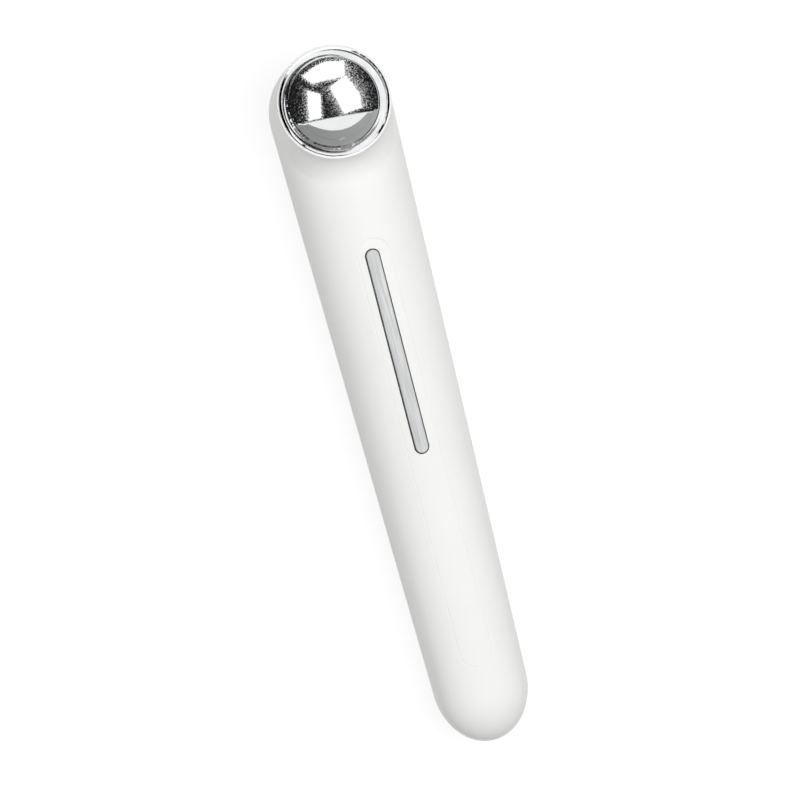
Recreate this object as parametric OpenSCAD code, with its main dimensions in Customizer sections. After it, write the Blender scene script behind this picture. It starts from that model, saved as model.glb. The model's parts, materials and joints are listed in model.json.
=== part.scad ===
// Heated eye massager wand with a rolling metal ball, a long light strip key and a clip-on rear cover.
// The wand lies on its back: +Y runs along it towards the massage head, +Z is its front.
// Pieces are drawn in the wand's own frame, which has its origin at the centre of the round head
// and its Y axis on the body's axis. A station is a distance from that centre towards the tail.

/* [Body] */
// Radius of the round head, and of the body where it meets the head
head_r = 12.4; // [11.6:0.1:13.4]
// Radius of the body where the rounded tail starts
tail_r = 9.74; // [9.3:0.02:10.4]
// Station where the rounded tail starts
tail_station = 123.7; // [121:0.1:132]
// Length of the rounded tail
tail_length = 12; // [10:0.5:15]
// Wall of the housing and the rear cover
wall = 1.6; // [1.4:0.05:1.8]
// Depth of the flat that keeps the wand from rolling
flat_depth = 0.7; // [0.5:0.05:0.8]

/* [Massage face] */
// Tilt of the face towards the head end, from the body's front
face_tilt = 20.5; // [10:0.5:26]
// Distance from the head's centre to the end of the collar
collar_reach = 13.15; // [12.9:0.05:14.5]
// Radius of the end of the collar
collar_r = 11.38; // [11.2:0.02:11.6]
// Radius of the hollow that leads from the collar to the body's front
neck_fillet_r = 7; // [5:0.5:7.2]
// Radius of the massage ball
ball_r = 9; // [8.6:0.05:9.2]
// Depth of the ball's centre below the collar's end
ball_depth = 1.25; // [1.1:0.05:1.5]
// Gap between the ball and its cup
ball_gap = 0.12; // [0.08:0.01:0.2]
// Wall of the heated cup
cup_wall = 0.58; // [0.5:0.02:0.65]
// Thickness of the chrome ring above the collar
bezel_height = 0.7; // [0.6:0.05:1.2]
// Width of the collar's white rim outside the chrome ring
bezel_margin = 0.42; // [0.1:0.02:0.6]
// Radius of the heater disc
heater_r = 4; // [3:0.1:4.4]
// Thickness of the heater disc
heater_thick = 1; // [0.6:0.1:1.2]

/* [Key and light strip] */
// Station of the key's head end
key_start = 24.3; // [23.5:0.1:26]
// Station of the key's tail end
key_end = 117; // [112:0.5:118]
// Width of the key's slot
key_w = 6.87; // [6.4:0.05:7.1]
// Thickness of the key plate
key_thick = 1.3; // [1.1:0.05:1.5]
// Gap round the key
key_gap = 0.15; // [0.1:0.01:0.2]
// Station of the light window's head end
window_start = 26.3; // [26:0.1:28]
// Station of the light window's tail end
window_end = 70.3; // [60:0.1:74]
// Width of the light window with its dark edge
window_w = 3.27; // [2.8:0.05:3.5]
// Width of the dark edge round the light window
edge_w = 0.3; // [0.2:0.05:0.4]
// Station of the key's hinge pin
hinge_station = 28.4; // [28:0.1:30]
// Radius of the key's hinge pin
hinge_pin_r = 0.5; // [0.4:0.05:0.6]

/* [Inside] */
// Height of the circuit board's top above the body's axis
board_top = 6.2; // [5.9:0.1:6.3]
// Thickness of the circuit board
board_thick = 1; // [0.8:0.1:1.1]
// Width of the circuit board
board_w = 8.6; // [7.6:0.1:8.8]
// Station of the switch under the key
switch_station = 98; // [94:0.5:100]
// Radius of the battery cell
battery_r = 5; // [4.6:0.1:5]
// Length of the battery cell
battery_length = 44; // [38:0.5:45]
// Station of the battery cell's head end
battery_start = 46.5; // [46:0.5:48]
// Radius of the vibration motor's can
motor_r = 3; // [2.6:0.1:3.1]
// Length of the vibration motor's can
motor_length = 9.5; // [8.5:0.5:10]
// Station of the can's head end
motor_start = 12.5; // [12.3:0.1:13.2]

/* [Rear cover and charging port] */
// Height of the parting line above the body's axis
split_height = 1.5; // [0.5:0.1:1.8]
// Station of the cover's head end
cover_start = 6; // [5:0.5:8]
// Station of the cover's tail end
cover_end = 118.8; // [118.4:0.1:120]
// Gap along the cover's sides
cover_gap = 0.12; // [0.08:0.02:0.2]
// Gap at the cover's tail end, where a nail opens it
pry_gap = 0.35; // [0.2:0.05:0.5]
// Width of the charging socket
socket_w = 8.94; // [8.6:0.02:9.1]
// Height of the charging socket
socket_h = 3.16; // [3:0.02:3.3]

/* [Hidden] */
$fn = 96;
big = 60;
// Gap between pieces that sit on or in each other
rest_gap = 0.02;
// Gap between the inner pieces and the shells
inner_gap = 0.3;
// Running gap of pins and shafts
run_gap = 0.05;
// Tangent surfaces are sunk this much, so that they cross
sink = 0.03;
// Angle at which a cone leaves a ball of radius r0 to reach radius r1 at the distance reach
function cone_angle(r0, r1, reach) = asin(r0 / norm([reach, r1])) - atan(r1 / reach);
taper = cone_angle(head_r, tail_r, tail_station);
collar_taper = cone_angle(head_r, collar_r, collar_reach);
function body_r(station) = (head_r - sink - station * sin(taper)) / cos(taper);
tip_station = tail_station + tail_length;
inner_wall = wall + inner_gap;
// Face
ball_reach = collar_reach - ball_depth;
bore_r = ball_r + ball_gap + cup_wall + 0.55;
ledge_height = 3;
ledge_thick = 1.5;
ledge_r = bore_r - 1.25;
cup_r = ball_r + ball_gap + cup_wall;
cup_top = ball_reach + 1;
boss_r = heater_r + 0.2;
boss_base = ball_reach - cup_r - 0.5;
rim_reach = collar_reach + bezel_height;
bezel_r = collar_r - bezel_margin;
lip_r = ball_r - 0.05;
lip_play = 0.06;
lip_reach = ball_reach + sqrt(pow(ball_r + lip_play, 2) - pow(lip_r, 2));
thermistor_r = 0.9;
thermistor_length = 2;
thermistor_offset = heater_r + 2;
thermistor_top = ball_reach - sqrt(pow(cup_r, 2) - pow(thermistor_offset - thermistor_r, 2)) - 0.13;
skirt_base = ball_reach - 3.4;
// Key
key_side = key_w / 2 - key_gap;
switch_h = 1.8;
plunger_r = 1;
plunger_top = body_r(switch_station) - key_thick - 0.08;
hinge_height = body_r(hinge_station) - key_thick - 1.5;
lug_in = window_w / 2 + 0.7;
lug_out = key_side - 0.05;
ear_in = key_w / 2 + 0.15;
ear_out = ear_in + 1.4;
pin_reach = ear_out - 0.45;
pin_snap = 0.06;
flange_w = window_w + 1.1;
flange_thick = 0.6;
// Inner frame
deck_top = board_top - board_thick - rest_gap;
battery_height = -0.8;
deck_base = battery_height + battery_r + 0.1;
trough_r = battery_r + 0.2;
board_start = 25;
board_end = 109;
frame_end = 110;
cradle_start = motor_start - 0.3;
motor_end = motor_start + motor_length;
cradle_end = motor_end + 2;
motor_height = -4.3;
sleeve_r = motor_r + 0.75;
cradle_side = sleeve_r + 1.25;
cradle_wall = 2;
shaft_r = 0.5;
shaft_stub = 0.5;
shaft_in_can = 5.5;
weight_r = 2.7;
weight_length = 4.5;
weight_start = motor_start - weight_length - 1.5;
screw_stations = [37, 105.5];
screw_x = 5.85;
screw_r = 0.55;
screw_seat = 2.6;
// Wall left between the screw holes and the outside
screw_skin = 0.5;
screw_reach = sqrt(pow(body_r(screw_stations[1]) - screw_skin, 2) - pow(screw_x + screw_r + run_gap, 2))
    - inner_gap - screw_seat;
screw_head_r = 1.15;
screw_head_h = 0.9;
screw_recess = 0.3;
recess_w = 0.24;
recess_l = 1.6;
// Chips on the circuit board
chip_h = 0.95;
control_chip_w = 5;
control_chip_station = window_end + 7.7;
power_chip_w = 4;
power_chip_station = control_chip_station + 8;
small_part_w = 1;
small_part_x = 2.1;
small_part_station = power_chip_station + 4.8;
light_w = 1.2;
light_length = 1.6;
light_h = 0.75;
light_count = 5;
// Battery's tabs and pad
tab_thick = 0.2;
tab_w = 4;
tab_h = 6;
pad_w = 7;
pad_margin = 4;
// Charging port
socket_height = -1.5;
socket_length = 7.3;
socket_mouth = tip_station - 1.8;
socket_start = socket_mouth - socket_length;
port_gap = 0.15;
plate_w = 6.7;
plate_h = 0.7;
plate_length = socket_length - 1.1;
tail_board_top = socket_height - socket_h / 2 - rest_gap;
tail_board_thick = 0.8;
tail_board_w = 10;
tail_board_start = 111;
// Parting line
tongue_h = 1.2;
tongue_inset = 0.95;
hook_stations = [30, 62, 94];
hook_length = 5;
hook_depth = 0.3;
hook_low = 0.5;
hook_high = 1;

shell_white = [0.95, 0.95, 0.94];
chrome = [0.82, 0.83, 0.85];

// Lays the wand on its back, with the flat on the ground under the station origin_station
origin_station = 60;
module laid() {
    translate([0, origin_station, head_r - flat_depth]) rotate([taper, 0, 0]) children();
}
// Everything below the flat, in the wand's own frame
module ground() {
    rotate([-taper, 0, 0]) translate([-big, -4 * big, flat_depth - head_r - big]) cube([2 * big, 6 * big, big]);
}
// Local Z points from the head's centre out of the massage face
module on_face(reach = 0) {
    rotate([-face_tilt, 0, 0]) translate([0, 0, reach]) children();
}
// Local Z points down the body, and local Y to its front
module down_body(station = 0, height = 0) {
    translate([0, -station, height]) rotate([90, 0, 0]) children();
}
// A box between two stations, two heights and two sides
module block(station0, station1, x0, x1, z0, z1) {
    translate([x0, -station1, z0]) cube([x1 - x0, station1 - station0, z1 - z0]);
}
module both_sides() {
    children();
    mirror([1, 0, 0]) children();
}

// The body's tapered form, drawn in from its surface by inset
function tail_curve(inset, steps = 12) = [for (i = [0 : steps])
    [(body_r(tail_station) - inset) * cos(90 * i / steps), tail_station + (tail_length - inset) * sin(90 * i / steps)]];
module tapered(inset = 0, station0 = 0.3) {
    down_body() rotate_extrude() polygon(concat([[0, station0], [body_r(station0) - inset, station0]],
        tail_curve(inset)));
}
// A band of the body's wall between two depths
module wall_band(depth0, depth1) {
    difference() {
        tapered(depth0);
        tapered(depth1, 0);
    }
}
module collar_cone() {
    start = head_r * sin(collar_taper);
    on_face(start) cylinder(r1 = (head_r - sink) * cos(collar_taper), r2 = collar_r, h = collar_reach - start);
}
// Round hollow between the collar and the body's front: part of a torus that touches both
module neck_fillet() {
    tube_r = collar_r - 0.1;
    side = 90 - face_tilt - collar_taper;
    span = side - taper;
    out = (head_r - 2 * sink + neck_fillet_r) / cos(span / 2);
    middle = taper + span / 2;
    translate([0, -out * sin(middle), out * cos(middle)]) rotate([taper, 0, 0]) rotate([0, 90, 0])
        rotate_extrude(angle = span) translate([neck_fillet_r + tube_r, 0]) circle(r = tube_r);
}
module outer_form() {
    sphere(r = head_r);
    tapered();
    collar_cone();
    neck_fillet();
}
module cavity_form() {
    difference() {
        union() {
            sphere(r = head_r - wall);
            tapered(wall);
        }
        on_face(ledge_height - ledge_thick) cylinder(r = bore_r + wall, h = big);
    }
    on_face(ledge_height - ledge_thick - sink) cylinder(r = ledge_r, h = big);
    on_face(ledge_height) cylinder(r = bore_r, h = big);
}
// Outline of a slot with round ends, between two stations
module slot_outline(w, station0, station1) {
    translate([-w / 2, -(station1 - w / 2)]) square([w, station1 - station0 - w]);
    for (s = [station0 + w / 2, station1 - w / 2]) translate([0, -s]) circle(d = w);
}
module slot(w, station0, station1) {
    linear_extrude(height = big) slot_outline(w, station0, station1);
}
module socket_outline(w, h) {
    square([w - h, h], center = true);
    for (side = [-1, 1]) translate([side * (w - h) / 2, 0]) circle(d = h);
}

module hinge_ear() {
    intersection() {
        union() {
            translate([ear_in, -hinge_station, hinge_height]) rotate([0, 90, 0]) cylinder(r = 1.2, h = ear_out - ear_in);
            block(hinge_station - 1.2, hinge_station + 1.2, ear_in, ear_out, hinge_height, big);
        }
        tapered(wall / 2);
    }
}
// Blind bore of the hinge pin, with the slot that the pin snaps in through from the inside
module pin_seat() {
    reach = pin_reach + run_gap;
    translate([-reach, -hinge_station, hinge_height]) rotate([0, 90, 0])
        cylinder(r = hinge_pin_r + rest_gap, h = 2 * reach);
    slot_side = hinge_pin_r - pin_snap;
    block(hinge_station - slot_side, hinge_station + slot_side, -reach, reach, 0, hinge_height);
}
module screw_bosses() {
    intersection() {
        for (s = screw_stations) both_sides()
            translate([screw_x, -s, deck_top + rest_gap]) cylinder(r = 1.5, h = big);
        tapered(wall / 2);
    }
}
module tail_rails() {
    intersection() {
        both_sides() block(cover_end + 1, tail_station + 3.5, tail_board_w / 2 - 0.8, big,
            tail_board_top - tail_board_thick - rest_gap - 1, tail_board_top - tail_board_thick - rest_gap);
        tapered(wall / 2);
    }
}
module front_housing() {
    color(shell_white) laid() difference() {
        union() {
            difference() {
                outer_form();
                cavity_form();
            }
            both_sides() hinge_ear();
            screw_bosses();
            tail_rails();
        }
        ground();
        on_face(collar_reach) cylinder(r = big, h = big);
        block(cover_start, cover_end, -big, big, -big, split_height);
        intersection() {
            block(cover_start, cover_end, -big, big, 0, split_height + tongue_h + 0.2);
            tapered(tongue_inset - cover_gap);
        }
        cover_hooks(cover_gap);
        slot(key_w, key_start, key_end);
        pin_seat();
        for (s = screw_stations) both_sides() translate([screw_x, -s, screw_seat])
            cylinder(r = screw_r + run_gap, h = screw_reach + inner_gap);
        down_body(socket_start - 1, socket_height) linear_extrude(height = big)
            socket_outline(socket_w + 2 * port_gap, socket_h + 2 * port_gap);
    }
}
// Snap hooks along the tongue, or with play the pockets that they click into
module cover_hooks(play = 0) {
    intersection() {
        for (s = hook_stations) block(s - hook_length / 2 - play, s + hook_length / 2 + play, -big, big,
            split_height + hook_low - play, split_height + hook_high + play);
        tapered(tongue_inset - hook_depth - play);
    }
}
module rear_cover() {
    color(shell_white) laid() difference() {
        union() {
            intersection() {
                tapered();
                block(cover_start + cover_gap, cover_end - pry_gap, -big, big, -big, split_height - cover_gap);
            }
            intersection() {
                tapered(tongue_inset);
                block(cover_start + 3, cover_end - 3, -big, big, -2, split_height + tongue_h);
            }
            cover_hooks();
        }
        tapered(wall, 0);
        ground();
    }
}

module key_plate() {
    color(shell_white) laid() difference() {
        union() {
            intersection() {
                wall_band(0, key_thick);
                slot(2 * key_side, key_start + key_gap, key_end - key_gap);
            }
            both_sides() intersection() {
                union() {
                    translate([lug_in, -hinge_station, hinge_height]) rotate([0, 90, 0])
                        cylinder(r = 1, h = lug_out - lug_in);
                    block(hinge_station - 1, hinge_station + 1, lug_in, lug_out, hinge_height, big);
                }
                tapered(key_thick / 2);
            }
        }
        slot(window_w, window_start, window_end);
        translate([-big, -hinge_station, hinge_height]) rotate([0, 90, 0])
            cylinder(r = hinge_pin_r + run_gap, h = 2 * big);
    }
}
module window_gasket() {
    color([0.18, 0.18, 0.19]) laid() intersection() {
        wall_band(0.2, key_thick);
        difference() {
            slot(window_w - 2 * rest_gap, window_start + rest_gap, window_end - rest_gap);
            translate([0, 0, -1]) slot(window_w - 2 * edge_w, window_start + edge_w, window_end - edge_w);
        }
    }
}
module light_window() {
    inset = edge_w + rest_gap;
    color([0.85, 0.87, 0.88]) laid() union() {
        intersection() {
            wall_band(0.12, key_thick + flange_thick);
            slot(window_w - 2 * inset, window_start + inset, window_end - inset);
        }
        intersection() {
            wall_band(key_thick + rest_gap, key_thick + flange_thick);
            slot(flange_w, window_start + edge_w - 0.5, window_end + 0.5);
        }
    }
}
module hinge_pin() {
    color("silver") laid() translate([-pin_reach, -hinge_station, hinge_height]) rotate([0, 90, 0])
        cylinder(r = hinge_pin_r, h = 2 * pin_reach);
}
module light_baffle() {
    baffle_start = hinge_station + 2.5;
    baffle_end = window_end + 1.5;
    baffle_top = body_r(baffle_end) - key_thick - flange_thick - 0.5;
    color([0.93, 0.93, 0.93]) laid() difference() {
        block(baffle_start, baffle_end, -flange_w / 2 - 0.6, flange_w / 2 + 0.6, board_top + rest_gap, baffle_top);
        block(baffle_start + 0.7, baffle_end - 0.7, -flange_w / 2, flange_w / 2, 0, big);
    }
}

module massage_ball() {
    color(chrome) laid() on_face(ball_reach) sphere(r = ball_r);
}
// Section of the chrome ring: skirt, flange, rounded bead, sloping band and retaining lip
module bezel_section() {
    skirt_r = bore_r - run_gap;
    polygon([[cup_r + 0.05, skirt_base], [skirt_r, skirt_base], [skirt_r, collar_reach + rest_gap],
        [bezel_r, collar_reach + rest_gap], [bezel_r, rim_reach - 0.28], [bezel_r - 0.08, rim_reach - 0.08],
        [bezel_r - 0.28, rim_reach], [bezel_r - 0.48, rim_reach - 0.08], [bezel_r - 0.56, rim_reach - 0.2],
        [bezel_r - 1.1, rim_reach - 0.4],
        [lip_r + 0.15, lip_reach + 0.12], [lip_r, lip_reach + 0.08], [lip_r, lip_reach],
        [lip_r + 0.25, cup_top + 0.1], [cup_r + 0.05, cup_top + 0.1]]);
}
module bezel_ring() {
    color(chrome) laid() on_face() rotate_extrude() bezel_section();
}
module heated_cup() {
    color([0.75, 0.76, 0.78]) laid() on_face() difference() {
        union() {
            intersection() {
                translate([0, 0, ball_reach]) sphere(r = cup_r);
                cylinder(r = big, h = cup_top);
            }
            translate([0, 0, boss_base]) cylinder(r = boss_r, h = 3);
        }
        translate([0, 0, ball_reach]) sphere(r = ball_r + ball_gap);
    }
}
module cup_carrier() {
    color([0.25, 0.25, 0.27]) laid() on_face() difference() {
        translate([0, 0, ledge_height + rest_gap]) cylinder(r = bore_r - 0.1, h = skirt_base - ledge_height - 0.2);
        translate([0, 0, ball_reach]) sphere(r = cup_r + 0.08);
        cylinder(r = boss_r + 0.3, h = big);
        translate([0, -thermistor_offset, 0]) cylinder(r = thermistor_r + run_gap, h = big);
    }
}
module heater_disc() {
    color([0.72, 0.45, 0.25]) laid() on_face(boss_base - rest_gap - heater_thick) cylinder(r = heater_r, h = heater_thick);
}
module thermistor() {
    color([0.1, 0.1, 0.12]) laid() on_face(thermistor_top - thermistor_length) translate([0, -thermistor_offset, 0])
        cylinder(r = thermistor_r, h = thermistor_length);
}

module motor_can() {
    color("silver") laid() down_body(motor_start, motor_height) difference() {
        cylinder(r = motor_r, h = motor_length);
        translate([0, 0, -1]) cylinder(r = shaft_r + run_gap, h = motor_length - 1);
    }
}
module motor_sleeve() {
    color([0.2, 0.2, 0.2]) laid() down_body(motor_start + 0.5, motor_height) difference() {
        cylinder(r = sleeve_r, h = motor_length - 1);
        translate([0, 0, -1]) cylinder(r = motor_r + rest_gap, h = big);
    }
}
module motor_shaft() {
    color("silver") laid() down_body(weight_start - shaft_stub, motor_height)
        cylinder(r = shaft_r, h = motor_start - weight_start + shaft_stub + shaft_in_can);
}
module eccentric_weight() {
    color([0.55, 0.55, 0.5]) laid() down_body(weight_start, motor_height) difference() {
        union() {
            intersection() {
                cylinder(r = weight_r, h = weight_length);
                translate([-big, -big, -1]) cube([2 * big, big, big]);
            }
            cylinder(r = 1.2, h = weight_length);
        }
        translate([0, 0, -1]) cylinder(r = shaft_r + rest_gap / 2, h = big);
    }
}

module inner_frame() {
    frame_w = trough_r + 1.2;
    color([0.35, 0.36, 0.38]) laid() difference() {
        intersection() {
            union() {
                block(cradle_end - cradle_wall, frame_end, -frame_w, frame_w, deck_base, deck_top);
                block(battery_start - 2, battery_start + battery_length + 2, -frame_w, frame_w, -4, deck_top);
                for (s = screw_stations) block(s - 2.5, s + 2.5, -frame_w - 0.8, frame_w + 0.8, screw_seat - 1.5, deck_top);
                block(cradle_start, cradle_end, -cradle_side, cradle_side, -big, motor_height + 1);
                block(cradle_end - cradle_wall, cradle_end, -cradle_side, cradle_side, motor_height, deck_top);
            }
            tapered(inner_wall);
        }
        ground_clear();
        down_body(battery_start - 0.5, battery_height) cylinder(r = trough_r, h = battery_length + 1);
        block(battery_start - 0.5, battery_start + battery_length + 0.5, -trough_r, trough_r, -big, battery_height);
        down_body(cradle_start - 1, motor_height) cylinder(r = sleeve_r + rest_gap, h = motor_end + 1.1 - cradle_start);
        for (s = screw_stations) both_sides() translate([screw_x, -s, 0]) {
            cylinder(r = screw_r + 0.2, h = big);
            translate([0, 0, screw_seat - big]) cylinder(r = screw_head_r + 0.2, h = big);
        }
    }
}
// The rear cover's flat leaves less room than its round wall
module ground_clear() {
    translate([0, 0, wall - flat_depth + inner_gap]) ground();
}
module frame_screws() {
    color([0.5, 0.5, 0.52]) laid() for (s = screw_stations) both_sides() translate([screw_x, -s, screw_seat]) {
        translate([0, 0, -screw_head_h - rest_gap]) difference() {
            cylinder(r = screw_head_r, h = screw_head_h);
            cube([recess_l, recess_w, 2 * screw_recess], center = true);
            cube([recess_w, recess_l, 2 * screw_recess], center = true);
        }
        translate([0, 0, -screw_head_h / 2]) cylinder(r = screw_r, h = screw_reach + screw_head_h / 2);
    }
}
module main_circuit_board() {
    color([0.1, 0.35, 0.2]) laid() block(board_start, board_end, -board_w / 2, board_w / 2, board_top - board_thick, board_top);
}
// A part soldered to the circuit board, centred on a station and on x
module on_board(station, x, length, w, h) {
    block(station - length / 2, station + length / 2, x - w / 2, x + w / 2, board_top + rest_gap, board_top + h);
}
module status_lights() {
    first = hinge_station + 5;
    pitch = (window_end - 4 - first) / (light_count - 1);
    color([0.95, 0.92, 0.7]) laid() for (i = [0 : light_count - 1])
        on_board(first + i * pitch, 0, light_length, light_w, light_h);
}
module control_chips() {
    color([0.12, 0.12, 0.13]) laid() {
        on_board(control_chip_station, 0, control_chip_w, control_chip_w, chip_h);
        on_board(power_chip_station, 0, power_chip_w, power_chip_w, chip_h);
        both_sides() on_board(small_part_station, small_part_x, 1.6 * small_part_w, small_part_w, chip_h / 2);
    }
}
module key_switch() {
    color([0.3, 0.3, 0.32]) laid() difference() {
        block(switch_station - 2.25, switch_station + 2.25, -2.25, 2.25, board_top + rest_gap, board_top + switch_h);
        translate([0, -switch_station, board_top + 0.4]) cylinder(r = plunger_r + run_gap, h = big);
    }
}
module switch_plunger() {
    color([0.1, 0.1, 0.1]) laid() translate([0, -switch_station, board_top + 0.9])
        cylinder(r = plunger_r, h = plunger_top - board_top - 0.9);
}
module battery_cell() {
    color([0.25, 0.45, 0.75]) laid() down_body(battery_start, battery_height) cylinder(r = battery_r, h = battery_length);
}
module battery_tabs() {
    color("silver") laid() for (s = [battery_start - tab_thick - rest_gap, battery_start + battery_length + rest_gap])
        block(s, s + tab_thick, -tab_w / 2, tab_w / 2, battery_height - tab_h / 2, battery_height + tab_h / 2);
}
module battery_pad() {
    color([0.3, 0.3, 0.32]) laid() difference() {
        intersection() {
            block(battery_start + pad_margin, battery_start + battery_length - pad_margin, -pad_w / 2, pad_w / 2,
                -big, battery_height);
            tapered(inner_wall);
        }
        ground_clear();
        down_body(battery_start, battery_height) cylinder(r = battery_r + rest_gap, h = battery_length);
    }
}
module charging_board() {
    color([0.1, 0.35, 0.2]) laid() block(tail_board_start, socket_start + 2.8, -tail_board_w / 2, tail_board_w / 2,
        tail_board_top - tail_board_thick, tail_board_top);
}
module charging_socket() {
    color("silver") laid() down_body(socket_start, socket_height) difference() {
        linear_extrude(height = socket_length) socket_outline(socket_w, socket_h);
        translate([0, 0, 0.3]) linear_extrude(height = socket_length) socket_outline(socket_w - 0.6, socket_h - 0.6);
    }
}
module socket_tongue() {
    color([0.12, 0.12, 0.13]) laid() down_body(socket_start + 0.35, socket_height) {
        linear_extrude(height = 1.2) socket_outline(socket_w - 0.7, socket_h - 0.7);
        linear_extrude(height = plate_length) square([plate_w, plate_h], center = true);
    }
}

front_housing();
rear_cover();
key_plate();
light_window();
window_gasket();
hinge_pin();
light_baffle();
massage_ball();
bezel_ring();
heated_cup();
cup_carrier();
heater_disc();
thermistor();
motor_can();
motor_sleeve();
motor_shaft();
eccentric_weight();
inner_frame();
frame_screws();
main_circuit_board();
status_lights();
control_chips();
key_switch();
switch_plunger();
battery_cell();
battery_tabs();
battery_pad();
charging_board();
charging_socket();
socket_tongue();
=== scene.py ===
# %% [markdown]
# # A heated eye massager wand
# A slim white plastic wand with a polished steel ball set in a chrome ring at its head. A long key with
# a frosted light strip runs down its front, and a rear cover clips on from behind.
# The imported CAD model is the frame that everything here is fitted to, and it is loaded first.

# %% Load the frame
import json
import math

import bmesh
import bpy
import numpy as np
from mathutils import Matrix, Vector
from mathutils.geometry import delaunay_2d_cdt

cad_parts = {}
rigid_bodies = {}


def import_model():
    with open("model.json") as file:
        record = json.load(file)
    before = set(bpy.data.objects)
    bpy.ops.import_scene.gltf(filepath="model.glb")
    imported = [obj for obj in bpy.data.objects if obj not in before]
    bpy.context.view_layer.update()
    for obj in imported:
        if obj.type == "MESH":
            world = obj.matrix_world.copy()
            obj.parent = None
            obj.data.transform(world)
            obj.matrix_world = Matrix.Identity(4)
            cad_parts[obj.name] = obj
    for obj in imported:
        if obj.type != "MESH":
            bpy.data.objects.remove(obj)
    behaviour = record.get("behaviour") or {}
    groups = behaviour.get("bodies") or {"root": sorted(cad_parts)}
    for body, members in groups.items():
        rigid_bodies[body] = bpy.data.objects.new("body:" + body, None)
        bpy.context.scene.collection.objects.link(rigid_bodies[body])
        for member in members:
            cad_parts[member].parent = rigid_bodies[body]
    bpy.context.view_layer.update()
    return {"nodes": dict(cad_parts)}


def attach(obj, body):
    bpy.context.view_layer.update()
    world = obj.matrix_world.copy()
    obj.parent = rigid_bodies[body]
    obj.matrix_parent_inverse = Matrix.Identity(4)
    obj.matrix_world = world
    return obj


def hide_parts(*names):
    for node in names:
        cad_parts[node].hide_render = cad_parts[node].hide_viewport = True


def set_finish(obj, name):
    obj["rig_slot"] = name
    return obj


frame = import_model()

# %% [markdown]
# The wand is easiest to draw standing in its own frame: the origin is the centre of the round head, +Y
# runs to the head's end and +Z is the front. A station is a distance from that origin towards the tail.
# Sizes are in millimetres here. One function turns finished points into metres in the model's frame,
# where the wand lies on its back, tipped by the taper of the body so that its rear flat is level.

# %% Main sizes and the wand's own frame
HEAD_R, TAIL_R, TAIL_STATION, TAIL_LENGTH = 12.4, 9.74, 123.7, 12.0
WALL, FLAT_DEPTH, ORIGIN_STATION = 1.6, 0.7, 60.0
FACE_TILT = math.radians(20.5)
COLLAR_REACH, COLLAR_R = 13.15, 11.38
BALL_R, BALL_REACH = 9.0, 11.9


def cone_angle(r0, r1, reach):
    return math.asin(r0 / math.hypot(reach, r1)) - math.atan(r1 / reach)


TAPER = cone_angle(HEAD_R, TAIL_R, TAIL_STATION)
COLLAR_TAPER = cone_angle(HEAD_R, COLLAR_R, COLLAR_REACH)
SIDE = np.array([1.0, 0.0, 0.0])
FACE = np.array([0.0, math.sin(FACE_TILT), math.cos(FACE_TILT)])
HEADWARD = np.array([0.0, math.cos(FACE_TILT), -math.sin(FACE_TILT)])


def body_r(station):
    return (HEAD_R - station * math.sin(TAPER)) / math.cos(TAPER)


def laid(points):
    """Points of the wand's own frame, in mm, as metres in the model's frame."""
    x, y, z = np.asarray(points, float).T
    c, s = math.cos(TAPER), math.sin(TAPER)
    return np.stack([x, y * c - z * s + ORIGIN_STATION, y * s + z * c + HEAD_R - FLAT_DEPTH], 1) / 1000


def unit(v):
    return v / np.maximum(np.linalg.norm(v, axis=-1, keepdims=True), 1e-9)


def linked(name, data):
    """A new object of this mesh or light, in the scene."""
    piece = bpy.data.objects.new(name, data)
    bpy.context.scene.collection.objects.link(piece)
    return piece


def on_face(r, turn, reach):
    """Points round the massage face: radius, angle from the head's end, distance from the head's centre."""
    r, turn, reach = np.broadcast_arrays(*(np.asarray(v, float) for v in (r, turn, reach)))
    return (reach[..., None] * FACE + (r * np.cos(turn))[..., None] * HEADWARD
            + (r * np.sin(turn))[..., None] * SIDE)


print("taper of the body:", round(math.degrees(TAPER), 3), "degrees")

# %% [markdown]
# The camera comes first, so that every later piece can be judged in the photographed view. The wand is
# seen from its front, a little from its head end and its left, with the head leaning to the upper left.
# A long lens far away keeps the body's two edges almost parallel, as in a product photograph.

# %% Camera
TILT_TO_HEAD, TURN_TO_SIDE, ROLL = math.radians(15.03), math.radians(5.5), math.radians(14.63)
CAMERA_DISTANCE, FOCAL_PIXELS, FRAME_PIXELS = 1235.7, 6108.6, 800
AIM = np.array([-1.14, -61.09, 0.0])  # the spot that the camera looks at
back = np.array([-math.sin(TURN_TO_SIDE) * math.cos(TILT_TO_HEAD), math.sin(TILT_TO_HEAD),
                 math.cos(TURN_TO_SIDE) * math.cos(TILT_TO_HEAD)])
along = np.array([0.0, 1.0, 0.0]) - back[1] * back
along /= np.linalg.norm(along)
across = np.cross(along, back)
camera_up = math.cos(ROLL) * along + math.sin(ROLL) * across
camera_right = math.cos(ROLL) * across - math.sin(ROLL) * along
camera_place = AIM + back * CAMERA_DISTANCE


def laid_direction(v):
    return (laid([v]) - laid([[0.0, 0.0, 0.0]]))[0] * 1000


camera_data = bpy.data.cameras.new("camera")
camera_data.sensor_width = 36
camera_data.lens = FOCAL_PIXELS / FRAME_PIXELS * camera_data.sensor_width
camera_data.clip_start, camera_data.clip_end = 0.05, 30
camera = linked("camera", camera_data)
bpy.context.scene.camera = camera
camera_turn = Matrix([laid_direction(v) for v in (camera_right, camera_up, back)]).transposed().to_4x4()
camera.matrix_world = Matrix.Translation(laid([camera_place])[0]) @ camera_turn
print("lens:", round(camera_data.lens, 1), "mm")

# %% [markdown]
# ## The surface of the housing
# The real housing is one smooth moulding: a round head, a slim cone, a rounded tail, and a collar that
# leans out of the head for the ball. It could be sculpted or lofted, but a rule is more exact. Each
# simple form gives a distance to its surface and the direction of its surface, and two forms are joined
# with a soft hollow that is wide where they meet at a steep angle and nothing where they already touch
# smoothly. A ray from the wand's axis then finds the surface for any point of a mesh.

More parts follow.
